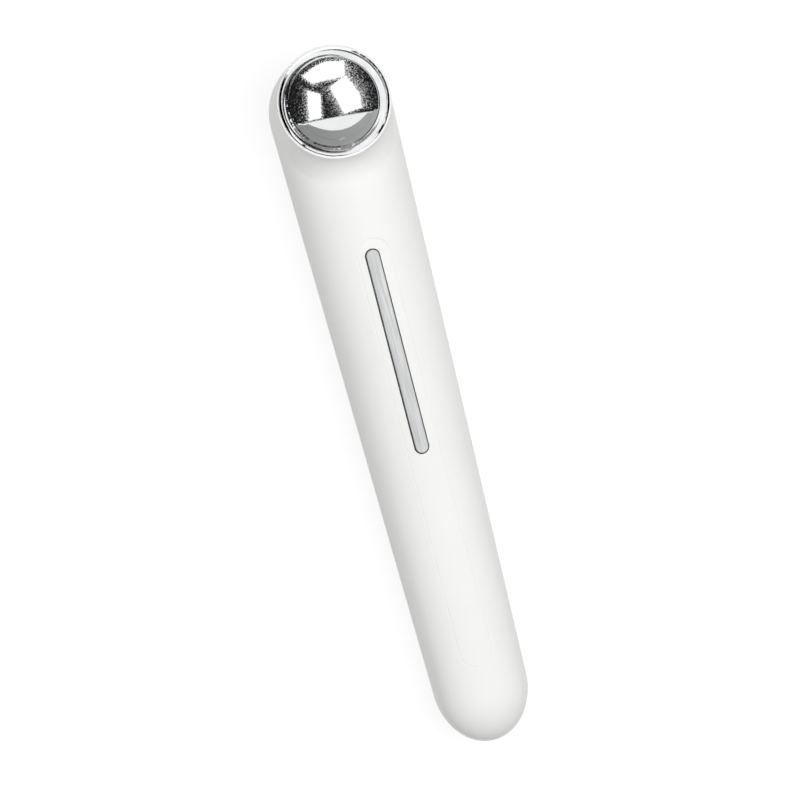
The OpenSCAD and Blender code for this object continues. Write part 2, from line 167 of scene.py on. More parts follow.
# %% Distances to the simple forms
FAR = 1e3
TAIL_LEAD = TAIL_LENGTH ** 2 * math.tan(TAPER) / TAIL_R  # the rounded tail starts a little early
TAIL_CENTRE, TAIL_REACH = TAIL_STATION - TAIL_LEAD, TAIL_LENGTH + TAIL_LEAD
NECK_R, NECK_TUBE = 7.0, COLLAR_R - 0.1
JOINT_SOFTNESS, FLAT_SOFTNESS = 3.0, 2.5


def tail_r(inset):
    """Radius of the ellipse whose side leaves the cone without a crease."""
    r = body_r(TAIL_STATION) - inset
    return r / math.sqrt(1 - (TAIL_LEAD / (TAIL_REACH - inset)) ** 2)


def body_form(p, inset=0.0):
    """Head ball, cone and tail in one, since they touch smoothly."""
    station, radial = -p[..., 1], np.hypot(p[..., 0], p[..., 2])
    outwards = unit(p * [1, 0, 1])
    ball = np.linalg.norm(p, axis=-1) - (HEAD_R - inset)
    cone = (radial - body_r(station) + inset) * math.cos(TAPER)
    length, width = TAIL_REACH - inset, tail_r(inset)
    q = np.hypot(radial / width, (station - TAIL_CENTRE) / length)
    tail = (q - 1) * min(width, length)
    start = (HEAD_R - inset) * math.sin(TAPER)
    distance = np.where(station < start, ball, np.where(station < TAIL_STATION, cone, tail))
    lean = outwards * math.cos(TAPER) - [0, math.sin(TAPER), 0]
    round_tail = unit(np.stack([p[..., 0] / width ** 2, -(station - TAIL_CENTRE) / length ** 2,
                                p[..., 2] / width ** 2], -1))
    where = [(station < start)[..., None], (station < TAIL_STATION)[..., None]]
    return distance, np.where(where[0], unit(p), np.where(where[1], lean, round_tail))


def collar_form(p):
    reach = p @ FACE
    outwards = p - reach[..., None] * FACE
    r = np.linalg.norm(outwards, axis=-1)
    start = HEAD_R * math.sin(COLLAR_TAPER)
    side_r = HEAD_R * math.cos(COLLAR_TAPER) - (reach - start) * math.tan(COLLAR_TAPER)
    distance = np.where(reach < start, FAR, (r - side_r) * math.cos(COLLAR_TAPER))
    return distance, unit(outwards) * math.cos(COLLAR_TAPER) + FACE * math.sin(COLLAR_TAPER)


def neck_form(p):
    """A bent tube that fills the corner between the collar and the body's front."""
    span = math.pi / 2 - FACE_TILT - COLLAR_TAPER - TAPER
    middle = TAPER + span / 2
    out = (HEAD_R + NECK_R) / math.cos(span / 2)
    centre = np.array([0, -out * math.sin(middle), out * math.cos(middle)])
    q = p - centre
    turn = np.clip(np.arctan2(q[..., 1], -q[..., 2]), TAPER, TAPER + span)
    arc_r = NECK_R + NECK_TUBE
    nearest = centre + arc_r * np.stack([0 * turn, np.sin(turn), -np.cos(turn)], -1)
    return np.linalg.norm(p - nearest, axis=-1) - NECK_TUBE, unit(p - nearest)


print("centre of the rounded tail: station", round(TAIL_CENTRE, 2))


# %% The forms joined, and rays that find the surface
def soft_union(a, b, softness):
    """Joins two forms with a hollow that grows with the angle between their surfaces."""
    k = np.maximum(softness * (1 - np.sum(a[1] * b[1], -1)), 1e-6)
    h = np.clip(0.5 + 0.5 * (b[0] - a[0]) / k, 0, 1)
    mixed = b[0] * (1 - h) + a[0] * h - k * h * (1 - h)
    return mixed, unit(b[1] * (1 - h)[..., None] + a[1] * h[..., None])


def housing_form(p):
    """The whole housing: head, body, collar and neck joined, and the flat cut along its back."""
    distance, facing = soft_union(body_form(p), collar_form(p), JOINT_SOFTNESS)
    distance, facing = soft_union((distance, facing), neck_form(p), JOINT_SOFTNESS)
    under = laid_flat_normal
    flat = p @ under - (HEAD_R - FLAT_DEPTH)
    k = np.maximum(FLAT_SOFTNESS * (1 - facing @ under), 1e-6)
    h = np.clip(0.5 + 0.5 * (distance - flat) / k, 0, 1)
    return flat * (1 - h) + distance * h + k * h * (1 - h)


laid_flat_normal = np.array([0.0, -math.sin(TAPER), -math.cos(TAPER)])


def cast(start, direction, form, near=2.0, far=30.0):
    """Distance along each ray to the surface, by halving the stretch that holds it."""
    low = np.full(direction.shape[:-1], near)
    high = np.full(direction.shape[:-1], far)
    for _ in range(34):
        mid = (low + high) / 2
        inside = form(start + direction * mid[..., None]) < 0
        low, high = np.where(inside, mid, low), np.where(inside, high, mid)
    return (low + high) / 2


def cavity_form(p):
    return body_form(p, WALL)[0]


def from_axis(turn, station, reach):
    """Points round the wand's axis: angle from the front, station, distance from the axis."""
    return np.stack([np.sin(turn) * reach, -station, np.cos(turn) * reach], -1)


def housing_reach(turn, station):
    """Distance from the axis to the housing's surface."""
    return cast(from_axis(turn, station, 0.0), from_axis(turn, 0 * station, 1.0), housing_form)


side_r = housing_reach(np.array([math.pi / 2]), np.array([ORIGIN_STATION]))[0]
print("radius at the middle:", round(float(side_r), 3), "mm")

# %% [markdown]
# ## Meshes that follow their openings
# An edge of a moulded part is never sharp: its small round catches a thin line of light, and beside a gap
# that line is what shows the joint. A boolean cut leaves ragged faces there. Instead each skin is a web
# of rows that run parallel to the opening, packed closely next to it, so the round can be real geometry.
# The rows are placed at fixed distances from both edges and spread evenly between.

# %% Webs of rows between two outlines
LIP = 0.15  # radius of the moulded edges
EDGE_ROWS = (0.0, 0.012, 0.04, 0.08, 0.12, 0.16, 0.24, 0.45, 0.9)


def rows_between(length, near, far, middle):
    """Row positions as fractions, for stretches of these lengths: one row of numbers per position."""
    length = np.asarray(length, float)
    last = near[-1] + far[-1]
    squeeze = np.minimum(1.0, 0.6 * length / last)
    rows = [d * squeeze / length for d in near]
    for t in np.linspace(0, 1, middle + 2)[1:-1]:
        rows.append((near[-1] * squeeze * (1 - t) + (length - far[-1] * squeeze) * t) / length)
    rows += [1 - d * squeeze / length for d in reversed(far)]
    return np.stack(rows)


def web_quads(rows, columns, first=0, closed=True):
    quads = []
    for i in range(rows - 1):
        for j in range(columns if closed else columns - 1):
            k = (j + 1) % columns
            quads.append((first + i * columns + j, first + i * columns + k,
                          first + (i + 1) * columns + k, first + (i + 1) * columns + j))
    return quads


def lip_drop(distance, radius=LIP):
    """How far a rounded edge lies below the surface, at this distance from the opening."""
    left = np.clip(radius - distance, 0, radius)
    return radius - np.sqrt(np.maximum(radius ** 2 - left ** 2, 0))


def seam_drop(distance, depth=0.06, width=0.2):
    """The key and the housing meet in a shallow hollow with no hard edge."""
    return depth * np.clip(1 - distance / width, 0, 1) ** 2


def slot_distance(x, station, width, start, end):
    """Distance from the outline of a slot with round ends: negative inside."""
    beyond = np.maximum(np.abs(station - (start + end) / 2) - (end - start - width) / 2, 0)
    return np.hypot(x, beyond) - width / 2


def angle_between(a, b):
    return np.arccos(np.clip(np.sum(a * b, -1), -1, 1))


def slerp(a, b, t):
    """Turns directions a into directions b, row by row."""
    angle = angle_between(a, b)
    s = np.sin(angle)
    return a * (np.sin((1 - t) * angle) / s)[..., None] + b * (np.sin(t * angle) / s)[..., None]


# %% Objects made from webs
def new_object(name, points, faces, body, slot, replaced=(), welded=1e-7):
    """A mesh object from points in the wand's own frame, smooth, welded and riding on its body."""
    mesh = bpy.data.meshes.new(name)
    mesh.from_pydata(laid(points).tolist(), [], faces)
    bm = bmesh.new()
    bm.from_mesh(mesh)
    bmesh.ops.remove_doubles(bm, verts=bm.verts, dist=welded)
    bmesh.ops.dissolve_degenerate(bm, dist=welded, edges=bm.edges)
    if bm.calc_volume(signed=True) < 0:
        bmesh.ops.reverse_faces(bm, faces=bm.faces)
    open_edges = sum(len(e.link_faces) != 2 for e in bm.edges)
    bm.to_mesh(mesh)
    bm.free()
    mesh.shade_smooth()
    piece = linked(name, mesh)
    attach(piece, body)
    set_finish(piece, slot)
    if replaced:
        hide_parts(*replaced)
    print(name, len(mesh.polygons), "faces,", open_edges, "open edges")
    return piece


def walled(outer, inner, quads):
    """Points and faces of a closed wall between two skins that share one layout."""
    number, same = {}, []
    for i, p in enumerate(np.round(outer, 5)):
        same.append(number.setdefault(tuple(p), i))
    faces = []
    for quad in quads:
        face = list(dict.fromkeys(same[i] for i in quad))
        if len(face) > 2:
            faces.append(face)
    edges = {(f[i], f[(i + 1) % len(f)]) for f in faces for i in range(len(f))}
    rim = sorted(e for e in edges if e[::-1] not in edges)
    n = len(outer)
    sides = [[b, a, a + n, b + n] for a, b in rim]
    return np.concatenate([outer, inner]), faces + [[i + n for i in reversed(f)] for f in faces] + sides


# %% [markdown]
# ## Front housing
# The housing is woven from three webs that share their outer rows. The long one runs from the key's slot
# to the line where the rear cover starts. The head's web closes round the back of the head and ends at
# the rim of the collar. The tail's web ends at the opening of the charging port.

# %% The long web round the key's slot
KEY_START, KEY_END, KEY_W, KEY_SEAM = 24.3, 117.0, 6.87, 0.02
SPLIT_HEIGHT, COVER_START, COVER_END, COVER_GAP, PRY_GAP = 1.5, 6.0, 118.8, 0.12, 0.35
TONGUE_HEIGHT, TONGUE_INSET = 1.2, 0.95
HEAD_JOIN, TAIL_JOIN = 8.5, 4.0  # how far the joining rows bow away from the cover's ends
MEAN_R, TAIL_MEAN_R = 11, 14  # round values that turn angles into lengths for the spacing of rows


def split_turn(station, inset=0.0, height=SPLIT_HEIGHT):
    return np.arccos(height / (body_r(station) - inset))


def join_station(turn, end, bow):
    """Station of the row where two webs join, by the angle from the front."""
    edge = split_turn(end)
    return end + bow * np.cos(np.clip(turn / edge, -1, 1) * math.pi / 2) ** 2


half = KEY_W / 2
straight_start, straight_end = KEY_START + half, KEY_END - half
slot_x, slot_v, edge_turn, edge_v = [], [], [], []


def add_columns(x, v, turn, station):
    for store, values in zip((slot_x, slot_v, edge_turn, edge_v), (x, v, turn, station)):
        store.extend(np.broadcast_to(values, np.broadcast_shapes(*map(np.shape, (x, v, turn, station)))))


def fan(centre, away, corner_count, arc_count, end, bow):
    """Columns from a round end of the slot to the cover's side, its corner, and across the front."""
    side_v = np.linspace(centre, end, corner_count + 1)[:-1]
    arc = np.linspace(1, -1, arc_count + 1)
    turns = np.concatenate([split_turn(side_v), arc * split_turn(end), -split_turn(side_v[::-1])])
    stations = np.concatenate([side_v, join_station(arc * split_turn(end), end, bow), side_v[::-1]])
    angle = np.linspace(0, math.pi, len(turns))
    add_columns(half * np.cos(angle), centre + away * half * np.sin(angle), turns, stations)


ARC_HEAD, ARC_TAIL, SIDE_COLUMNS = 60, 48, 56
CORNER_HEAD, CORNER_TAIL = 22, 7
fan(straight_start, -1, CORNER_HEAD, ARC_HEAD, COVER_START, HEAD_JOIN)
side_stations = np.linspace(straight_start, straight_end, SIDE_COLUMNS + 1)[1:-1]
add_columns(-half, side_stations, -split_turn(side_stations), side_stations)
tail_first = len(slot_x)
fan(straight_end, 1, CORNER_TAIL, ARC_TAIL, COVER_END, TAIL_JOIN)
slot_x[tail_first:] = [-x for x in slot_x[tail_first:]]
edge_turn[tail_first:] = [-t for t in edge_turn[tail_first:]]
add_columns(half, side_stations[::-1], split_turn(side_stations[::-1]), side_stations[::-1])
slot_x, slot_v, edge_turn, edge_v = map(np.array, (slot_x, slot_v, edge_turn, edge_v))
on_split = np.abs(np.abs(edge_turn) - split_turn(edge_v)) < 1e-6
web_length = np.hypot(edge_turn * MEAN_R - slot_x, edge_v - slot_v)
long_rows = rows_between(web_length, EDGE_ROWS, EDGE_ROWS + (1.3, 1.36), 16)
print("columns round the slot:", len(slot_x))


# %% The long web's outer and inner skin
def long_web(inset):
    """Angle and station of every point of the long web, on the skin at this depth."""
    station = slot_v + long_rows * (edge_v - slot_v)
    r = body_r(station) - inset
    edge = np.where(on_split, np.sign(edge_turn) * split_turn(edge_v, inset), edge_turn)
    return np.arcsin(slot_x / r) * (1 - long_rows) + edge * long_rows, station


def cover_distance(turn, station):
    """Distance from the rear cover's opening: zero at its edge and inside."""
    beside = np.maximum((split_turn(station) - np.abs(turn)) * body_r(station), 0)
    past = np.maximum(np.maximum(COVER_START - station, station - COVER_END), 0)
    return np.hypot(beside, past)


turn, station = long_web(0.0)
reach = housing_reach(turn, station)
reach -= seam_drop(slot_distance(reach * np.sin(turn), station, KEY_W, KEY_START, KEY_END))
reach -= lip_drop(cover_distance(turn, station))
long_outer = from_axis(turn, station, reach)
# Beside the cover's tongue the wall is thinner, as the outer half of a lapped joint
in_turn, in_station = long_web(WALL)
thin_turn, thin_station = long_web(TONGUE_INSET - COVER_GAP)
TONGUE_REACH = 1.33  # the thinner wall runs this far from the cover's opening
beside_cover = (station > COVER_START) & (station < COVER_END)
beside_tongue = beside_cover & (cover_distance(turn, station) < TONGUE_REACH)
long_inner = np.where(beside_tongue[..., None],
                      from_axis(thin_turn, thin_station, body_r(thin_station) - TONGUE_INSET + COVER_GAP),
                      from_axis(in_turn, in_station, body_r(in_station) - WALL))
print("long web:", long_outer.shape[0], "rows of", long_outer.shape[1])

# %% [markdown]
# The head's web starts on the joining row, which the long web and the cover's head end share. From there
# its rows swing round the ball of the head to the rim of the collar. The last rows turn over the rim,
# cross its flat end and go down the bore that the chrome ring sits in.

# %% The head's web, up to the collar's rim and into its bore
BORE_R, BORE_DEPTH_REACH, BORE_CHAMFER, RIM_ROUND = 10.25, 3.5, 0.1, 0.2
BACK_HEAD, BACK_TAIL = 72, 56


def joining_loop(end, bow, arc_count, back_count):
    """Angles and stations round the body: across the front from +X to -X, then round the back."""
    edge = float(split_turn(end))
    front = np.linspace(1, -1, arc_count + 1) * edge
    behind = -edge - np.linspace(0, 1, back_count + 1)[1:-1] * (2 * math.pi - 2 * edge)
    loop = np.concatenate([front, behind])
    return loop, np.where(np.abs(loop) <= edge + 1e-9, join_station(loop, end, bow), end)


loop_turn, loop_station = joining_loop(COVER_START, HEAD_JOIN, ARC_HEAD, BACK_HEAD)
loop_out = unit(from_axis(loop_turn, loop_station, housing_reach(loop_turn, loop_station)))
loop_in = unit(from_axis(loop_turn, loop_station, body_r(loop_station) - WALL))
rim_top = COLLAR_REACH - RIM_ROUND
rim_r = HEAD_R / math.cos(COLLAR_TAPER) - rim_top * math.tan(COLLAR_TAPER)
rim_out = unit(on_face(rim_r, math.pi - loop_turn, rim_top))
arc_length = angle_between(loop_out, rim_out) * HEAD_R
head_rows = rows_between(arc_length, EDGE_ROWS, (0.0, 0.3), 40)
head_ray = slerp(loop_out, rim_out, head_rows)
head_reach = cast(np.zeros(3), head_ray, housing_form, 8.0, 19.0)
head_points = head_ray * head_reach[..., None]
head_turn = np.arctan2(head_points[..., 0], head_points[..., 2])
before_cover = cover_distance(head_turn, -head_points[..., 1])
head_points -= unit(head_points) * lip_drop(before_cover)[..., None]
angle = np.linspace(0, math.pi / 2, 6)[1:]
end_r = np.concatenate([rim_r - RIM_ROUND * (1 - np.cos(angle)) - 0.015,
                        [10.9, BORE_R + BORE_CHAMFER, BORE_R, BORE_R, BORE_R]])
end_reach = np.concatenate([rim_top + RIM_ROUND * np.sin(angle),
                            [COLLAR_REACH, COLLAR_REACH, COLLAR_REACH - BORE_CHAMFER, 8.0, BORE_DEPTH_REACH]])
end_points = on_face(end_r[:, None], math.pi - loop_turn, end_reach[:, None])
head_outer = np.concatenate([head_points, end_points])
bore_ray = unit(end_points[-1])
steps = np.linspace(0, 1, len(head_outer))[:, None] * np.ones(len(loop_turn))
head_in_ray = slerp(loop_in, bore_ray, steps)
head_inner = head_in_ray * cast(np.zeros(3), head_in_ray, cavity_form, 5.0, 19.0)[..., None]
head_inner[-1] = end_points[-1]
print("head web:", head_outer.shape[0], "rows of", head_outer.shape[1])

# %% [markdown]
# The tail's web is made in the same way, and ends at the charging port. The port's outline is a slot with
# round ends, cut straight in along the body, so its points are found from their place across the tail.

# %% The tail's web, down to the charging port
SOCKET_W, SOCKET_H, SOCKET_HEIGHT, PORT_GAP = 8.94, 3.16, -1.5, 0.15
port_w, port_h = SOCKET_W + 2 * PORT_GAP, SOCKET_H + 2 * PORT_GAP


def port_outline(fraction):
    """Points of the port's outline by the share of its length, from the middle of its top side."""
    straight, r = (port_w - port_h) / 2, port_h / 2
    s = np.mod(fraction, 1) * (4 * straight + 2 * math.pi * r)
    ends = np.cumsum([straight, math.pi * r, 2 * straight, math.pi * r])
    a, b = (s - ends[0]) / r, (s - ends[2]) / r
    before = [s < end for end in ends]
    x = np.select(before, [s, straight + r * np.sin(a), straight - (s - ends[1]), -straight - r * np.sin(b)],
                  -straight + (s - ends[3]))
    z = np.select(before, [r + 0 * s, r * np.cos(a), -r + 0 * s, -r * np.cos(b)], r)
    return x, z + SOCKET_HEIGHT


def tail_dome(x, z, inset=0.0):
    inside = 1 - (x ** 2 + z ** 2) / tail_r(inset) ** 2
    return np.stack([x, -TAIL_CENTRE - (TAIL_REACH - inset) * np.sqrt(inside), z], -1)


def port_distance(x, z):
    beyond = np.maximum(np.abs(x) - (port_w - port_h) / 2, 0)
    return np.hypot(beyond, z - SOCKET_HEIGHT) - port_h / 2


tail_turn, tail_station = joining_loop(COVER_END, TAIL_JOIN, ARC_TAIL, BACK_TAIL)
tail_eye = np.array([0.0, -112.0, 0.0])  # the rows of the tail's web are seen from here
tail_loop = from_axis(tail_turn, tail_station, housing_reach(tail_turn, tail_station))
tail_loop_in = from_axis(tail_turn, tail_station, body_r(tail_station) - WALL)
port_x, port_z = port_outline(tail_turn / (2 * math.pi))


def tail_web(loop, port, form, lips):
    a, b = unit(loop - tail_eye), unit(port - tail_eye)
    length = angle_between(a, b) * TAIL_MEAN_R
    rays = slerp(a, b, rows_between(length, EDGE_ROWS, EDGE_ROWS, 16))
    points = tail_eye + rays * cast(tail_eye, rays, form, 1.0, 30.0)[..., None]
    if lips:
        turn = np.arctan2(points[..., 0], points[..., 2])
        drop = lip_drop(cover_distance(turn, -points[..., 1]))
        drop += lip_drop(port_distance(points[..., 0], points[..., 2]), 0.25)
        points -= unit(points - tail_eye) * drop[..., None]
    return points


tail_outer = tail_web(tail_loop, tail_dome(port_x, port_z), housing_form, True)
tail_inner = tail_web(tail_loop_in, tail_dome(port_x, port_z, WALL), cavity_form, False)
print("tail web:", tail_outer.shape[0], "rows of", tail_outer.shape[1])

# %% Weld the three webs into the housing
head_arc = slice(CORNER_HEAD, CORNER_HEAD + ARC_HEAD + 1)
tail_arc = slice(tail_first + CORNER_TAIL, tail_first + CORNER_TAIL + ARC_TAIL + 1)
for web, long_skin in ((head_outer, long_outer), (head_inner, long_inner)):
    web[0, :ARC_HEAD + 1] = long_skin[-1, head_arc]
for web, long_skin in ((tail_outer, long_outer), (tail_inner, long_inner)):
    web[0, :ARC_TAIL + 1] = long_skin[-1, tail_arc][::-1]
skins, layout, first = [], [], 0
for outer, inner, flip in ((long_outer, long_inner, 1), (head_outer, head_inner, 1),
                           (tail_outer, tail_inner, -1)):
    skins.append((outer.reshape(-1, 3), inner.reshape(-1, 3)))
    layout += [q[::flip] for q in web_quads(*outer.shape[:2], first)]
    first += outer.shape[0] * outer.shape[1]
points, faces = walled(np.concatenate([s[0] for s in skins]), np.concatenate([s[1] for s in skins]), layout)
front_housing = new_object("front_shell", points, faces, "casing", "shell_plastic", ["front_housing"])

# %% [markdown]
# ## Rear cover
# The cover is a long half shell that snaps on from behind, with a tongue along both sides that slips
# inside the housing. Its section hardly changes along the body, so it is lofted: the same closed outline
# is drawn at many stations and joined. The flat that keeps the wand from rolling is part of the outline.

# %% Loft the rear cover
cover_top = SPLIT_HEIGHT - COVER_GAP
cover_first, cover_last = COVER_START + COVER_GAP, COVER_END - PRY_GAP
near_ends = np.array(EDGE_ROWS)
CREASE_ROUND = np.array([-0.03, -0.012, 0.0, 0.012, 0.03])  # angles round the edge of the flat
cover_stations = np.concatenate([cover_first + near_ends, np.linspace(cover_first + 2, cover_last - 2, 44),
                                 (cover_last - near_ends)[::-1]])


def cover_section(station):
    """Closed outline at one station: outer skin, tongue, inner skin, tongue."""
    r = float(body_r(station))
    start = math.acos(cover_top / r)
    span = 2 * math.pi - 2 * start
    crease = math.acos((HEAD_R - FLAT_DEPTH - math.sin(TAPER) * station) / math.cos(TAPER) / r)
    edge = near_ends / r
    side_turns = np.linspace(start + edge[-1], math.pi - crease + CREASE_ROUND[0], 26)[1:-1]
    half_turns = np.concatenate([start + edge, side_turns, math.pi - crease + CREASE_ROUND])
    flat_turns = np.linspace(-crease + 0.05, crease - 0.05, 9) + math.pi
    turns = np.concatenate([half_turns, flat_turns, 2 * math.pi - half_turns[::-1]])
    centre = np.full(len(turns), float(station))
    reach = housing_reach(turns, centre)
    from_side = np.minimum(turns - start, start + span - turns) * r
    from_end = min(station - cover_first, cover_last - station)
    reach -= lip_drop(np.minimum(from_side, from_end))
    outer = from_axis(turns, centre, reach)
    inset = r - WALL
    inner_turns = np.interp(turns, [start, 2 * math.pi - start],
                            [math.acos(cover_top / inset), 2 * math.pi - math.acos(cover_top / inset)])
    inner = from_axis(inner_turns, centre, inset)
    high, mid = cover_top + TONGUE_HEIGHT, r - TONGUE_INSET
    tongue = np.array([[math.sqrt(r ** 2 - z ** 2), -station, z]
                       for r, z in ((mid, cover_top), (mid, high), (inset, high))])
    return outer, inner[::-1], tongue


# Each section runs: outer skin from +X to -X, tongue at -X, inner skin back, tongue at +X
sections = []
for v in cover_stations:
    outer, inner, tongue = cover_section(v)
    mirrored = tongue * [-1, 1, 1]
    sections.append(np.concatenate([outer, mirrored, inner, tongue[::-1]]))
count, skin = len(sections[0]), len(outer)
faces = [q[::-1] for q in web_quads(len(sections), count)]
for base, flip in ((0, 1), ((len(sections) - 1) * count, -1)):
    outer_last, inner_last = base + skin - 1, base + count - 4
    cap = [(base + i, base + i + 1, inner_last - 1 - i, inner_last - i) for i in range(skin - 1)]
    cap += [tuple(range(outer_last, outer_last + 5)), (*range(inner_last, base + count), base)]
    faces += [c[::flip] for c in cap]
points = np.concatenate(sections)
rear_cover = new_object("rear_shell", points, faces, "casing", "shell_plastic", ["rear_cover"])

# %% [markdown]
# ## Key, light window and its dark edge
# The key plate is a long strip with round ends that lies flush in the housing, and the light strip is
# set into its upper half. Each is a web too: drawn in plan, seen from the front, and lifted onto the
# body's cone, so their side walls are straight like those of a real moulding. Where a strip has no hole,
# the inner outline is a line down its middle.

# %% A strip with round ends, with or without a hole
WINDOW_START, WINDOW_END, WINDOW_W, EDGE_W, REST_GAP = 26.3, 70.3, 3.07, 0.26, 0.02
WINDOW_MOVED, WINDOW_LIP = -0.3, 0.08  # the window sits a hair to the left of the key's middle
THIN_EDGE = 0.12  # the dark edge is thinner on the right and at the tail end


def strip_columns(outer, inner, hole_end, counts):
    """Half of a strip's columns, from its head end down the +X side: inner and outer (x, station)."""
    (ow, o0, o1), (iw, i0, i1) = outer, inner
    ro, ri = ow / 2, iw / 2
    a, b = np.linspace(0, math.pi / 2, counts[0] + 1), np.linspace(math.pi / 2, math.pi, counts[2] + 1)
    c = np.linspace(math.pi / 2, math.pi, counts[4] + 1)
    o_top, o_low, i_top, i_low = o0 + ro, o1 - ro, i0 + ri, i1 - ri
    side_end, after = hole_end - 2.8, hole_end + 2.7  # the stretch beside the hole's round end
    t, u, w = (np.linspace(0, 1, counts[k] + 1) for k in (1, 2, 3))
    ix = [ri * np.sin(a), ri + 0 * t, ri * np.sin(b), 0 * w, 0 * c]
    iv = [i_top - ri * np.cos(a), i_top + (i_low - i_top) * t, i_low - ri * np.cos(b),
          i1 + (o_low - i1) * w, o_low + 0 * c]
    ox = [ro * np.sin(a), ro + 0 * t, ro + 0 * u, ro + 0 * w, ro * np.sin(c)]
    ov = [o_top - ro * np.cos(a), o_top + (side_end - o_top) * t, side_end + (after - side_end) * u,
          after + (o_low - after) * w, o_low - ro * np.cos(c)]
    return [np.concatenate([p[:-1] for p in parts[:-1]] + [parts[-1]]) for parts in (ix, iv, ox, ov)]


def strip_skins(columns, top, base, drop, rows, moved=(0.0, 0.0)):
    """Outer and inner skin of a strip, from its half columns; moved shifts its two outlines in x."""
    ix, iv, ox, ov = (np.concatenate([c, side * c[-2:0:-1]]) for c, side in zip(columns, (-1, 1, -1, 1)))
    ix, ox = ix + moved[0], ox + moved[1]
    share = rows_between(np.hypot(ox - ix, ov - iv), rows, rows, 4)
    x, station = ix + share * (ox - ix), iv + share * (ov - iv)
    r = body_r(station)
    outer = np.stack([x, -station, np.sqrt((r - top) ** 2 - x ** 2) - drop(x, station)], -1)
    inner = np.stack([x, -station, np.sqrt((r - base) ** 2 - x ** 2)], -1)
    return walled(outer.reshape(-1, 3), inner.reshape(-1, 3), web_quads(*outer.shape[:2]))


def from_outline(x, station, size, moved=0.0):
    return np.abs(slot_distance(x - moved, station, *size))


key_size = (KEY_W - 2 * KEY_SEAM, KEY_START + KEY_SEAM, KEY_END - KEY_SEAM)
window_hole = (WINDOW_W, WINDOW_START, WINDOW_END)
KEY_THICKNESS, GLASS_DEPTH = 1.3, 1.9


def key_drop(x, station):
    at_window = from_outline(x, station, window_hole, WINDOW_MOVED)
    return seam_drop(from_outline(x, station, key_size)) + lip_drop(at_window, WINDOW_LIP)


points, faces = strip_skins(strip_columns(key_size, window_hole, WINDOW_END, (24, 40, 16, 34, 24)), 0.0,
                            KEY_THICKNESS, key_drop, EDGE_ROWS[:-1], (WINDOW_MOVED, 0.0))
key_plate = new_object("key_strip", points, faces, "key", "key_plastic", ["key_plate"])

# %% Light window and gasket
gasket_outer = (WINDOW_W - 2 * REST_GAP, WINDOW_START + REST_GAP, WINDOW_END - REST_GAP)
gasket_inner = (WINDOW_W - EDGE_W - THIN_EDGE, WINDOW_START + EDGE_W, WINDOW_END - THIN_EDGE)
glass_moved = WINDOW_MOVED + (EDGE_W - THIN_EDGE) / 2


def ring_columns(outer, inner, n_end, n_side):
    """The same where the inner outline is about as long as the strip."""
    a, b = np.linspace(0, math.pi / 2, n_end + 1), np.linspace(math.pi / 2, math.pi, n_end + 1)
    t = np.linspace(0, 1, n_side + 1)[:-1]
    out = []
    for w, v0, v1 in (inner, outer):
        r = w / 2
        out += [np.concatenate([r * np.sin(a[:-1]), r + 0 * t, r * np.sin(b)]),
                np.concatenate([v0 + r - r * np.cos(a[:-1]), v0 + r + (v1 - v0 - 2 * r) * t,
                                v1 - r - r * np.cos(b)])]
    return out


points, faces = strip_skins(
    ring_columns(gasket_outer, gasket_inner, 16, 30), 0.1, KEY_THICKNESS,
    lambda x, v: lip_drop(np.minimum(from_outline(x, v, gasket_outer, WINDOW_MOVED),
                                     from_outline(x, v, gasket_inner, glass_moved)), 0.06),
    (0.0, 0.01, 0.03, 0.06), (glass_moved, WINDOW_MOVED))
gasket = new_object("window_edge", points, faces, "key", "dark_edge", ["window_gasket"])

glass_w = gasket_inner[0] - 2 * REST_GAP
glass = (glass_w, gasket_inner[1] + REST_GAP, gasket_inner[2] - REST_GAP)
spine = (0.0, glass[1] + glass_w / 2, glass[2] - glass_w / 2)
points, faces = strip_skins(ring_columns(glass, spine, 14, 40), 0.12, GLASS_DEPTH,
                            lambda x, v: lip_drop(from_outline(x, v, glass, glass_moved), 0.28),
                            (0.0, 0.02, 0.06, 0.12, 0.2, 0.3), (glass_moved, glass_moved))
light_window = new_object("light_strip", points, faces, "key", "window_plastic", ["light_window"])

# %% [markdown]
# ## Massage ball
# The ball is ground and polished steel. A globe of rings and slices would show its poles in every
# reflection, so the ball is made from a cube whose faces are divided and pushed out to the radius.

# %% Ball from a divided cube
def ball_points(divisions):
    steps = np.tan(np.linspace(-1, 1, divisions + 1) * math.pi / 4)
    u, v = np.meshgrid(steps, steps, indexing="ij")
    one = np.ones_like(u)
    sides = (one, u, v), (-one, v, u), (v, one, u), (u, -one, v), (u, v, one), (v, u, -one)
    return [unit(np.stack(s, -1)) for s in sides]


DIVISIONS = 40
cells = web_quads(DIVISIONS + 1, DIVISIONS + 1, closed=False)
ball, faces = [], []
for i, side in enumerate(ball_points(DIVISIONS)):
    faces += [tuple(k + i * (DIVISIONS + 1) ** 2 for k in q) for q in cells]
    ball.append(side.reshape(-1, 3) * BALL_R + FACE * BALL_REACH)
massage_ball = new_object("steel_ball", np.concatenate(ball), faces, "ball", "chrome", ["massage_ball"])

# %% [markdown]
# ## Chrome ring
# The ring round the ball is turned, so one section swept round a circle gives its whole shape. Geometry
# Nodes do this well: the section is drawn as a line of points, the tree sweeps it round a circle, and the
# number of steps is an input.

# %% A helper that runs a node tree once and keeps the mesh
def make_tree(name, inputs):
    """A Geometry Nodes tree with these named inputs, and its nodes for the input and output."""
    tree = bpy.data.node_groups.new(name, "GeometryNodeTree")
    tree.interface.new_socket("Geometry", in_out="INPUT", socket_type="NodeSocketGeometry")
    for label, kind, value in inputs:
        socket = tree.interface.new_socket(label, in_out="INPUT", socket_type="NodeSocket" + kind)
        if value is not None:
            socket.default_value = value
    tree.interface.new_socket("Geometry", in_out="OUTPUT", socket_type="NodeSocketGeometry")
    return tree, tree.nodes.new("NodeGroupInput"), tree.nodes.new("NodeGroupOutput")


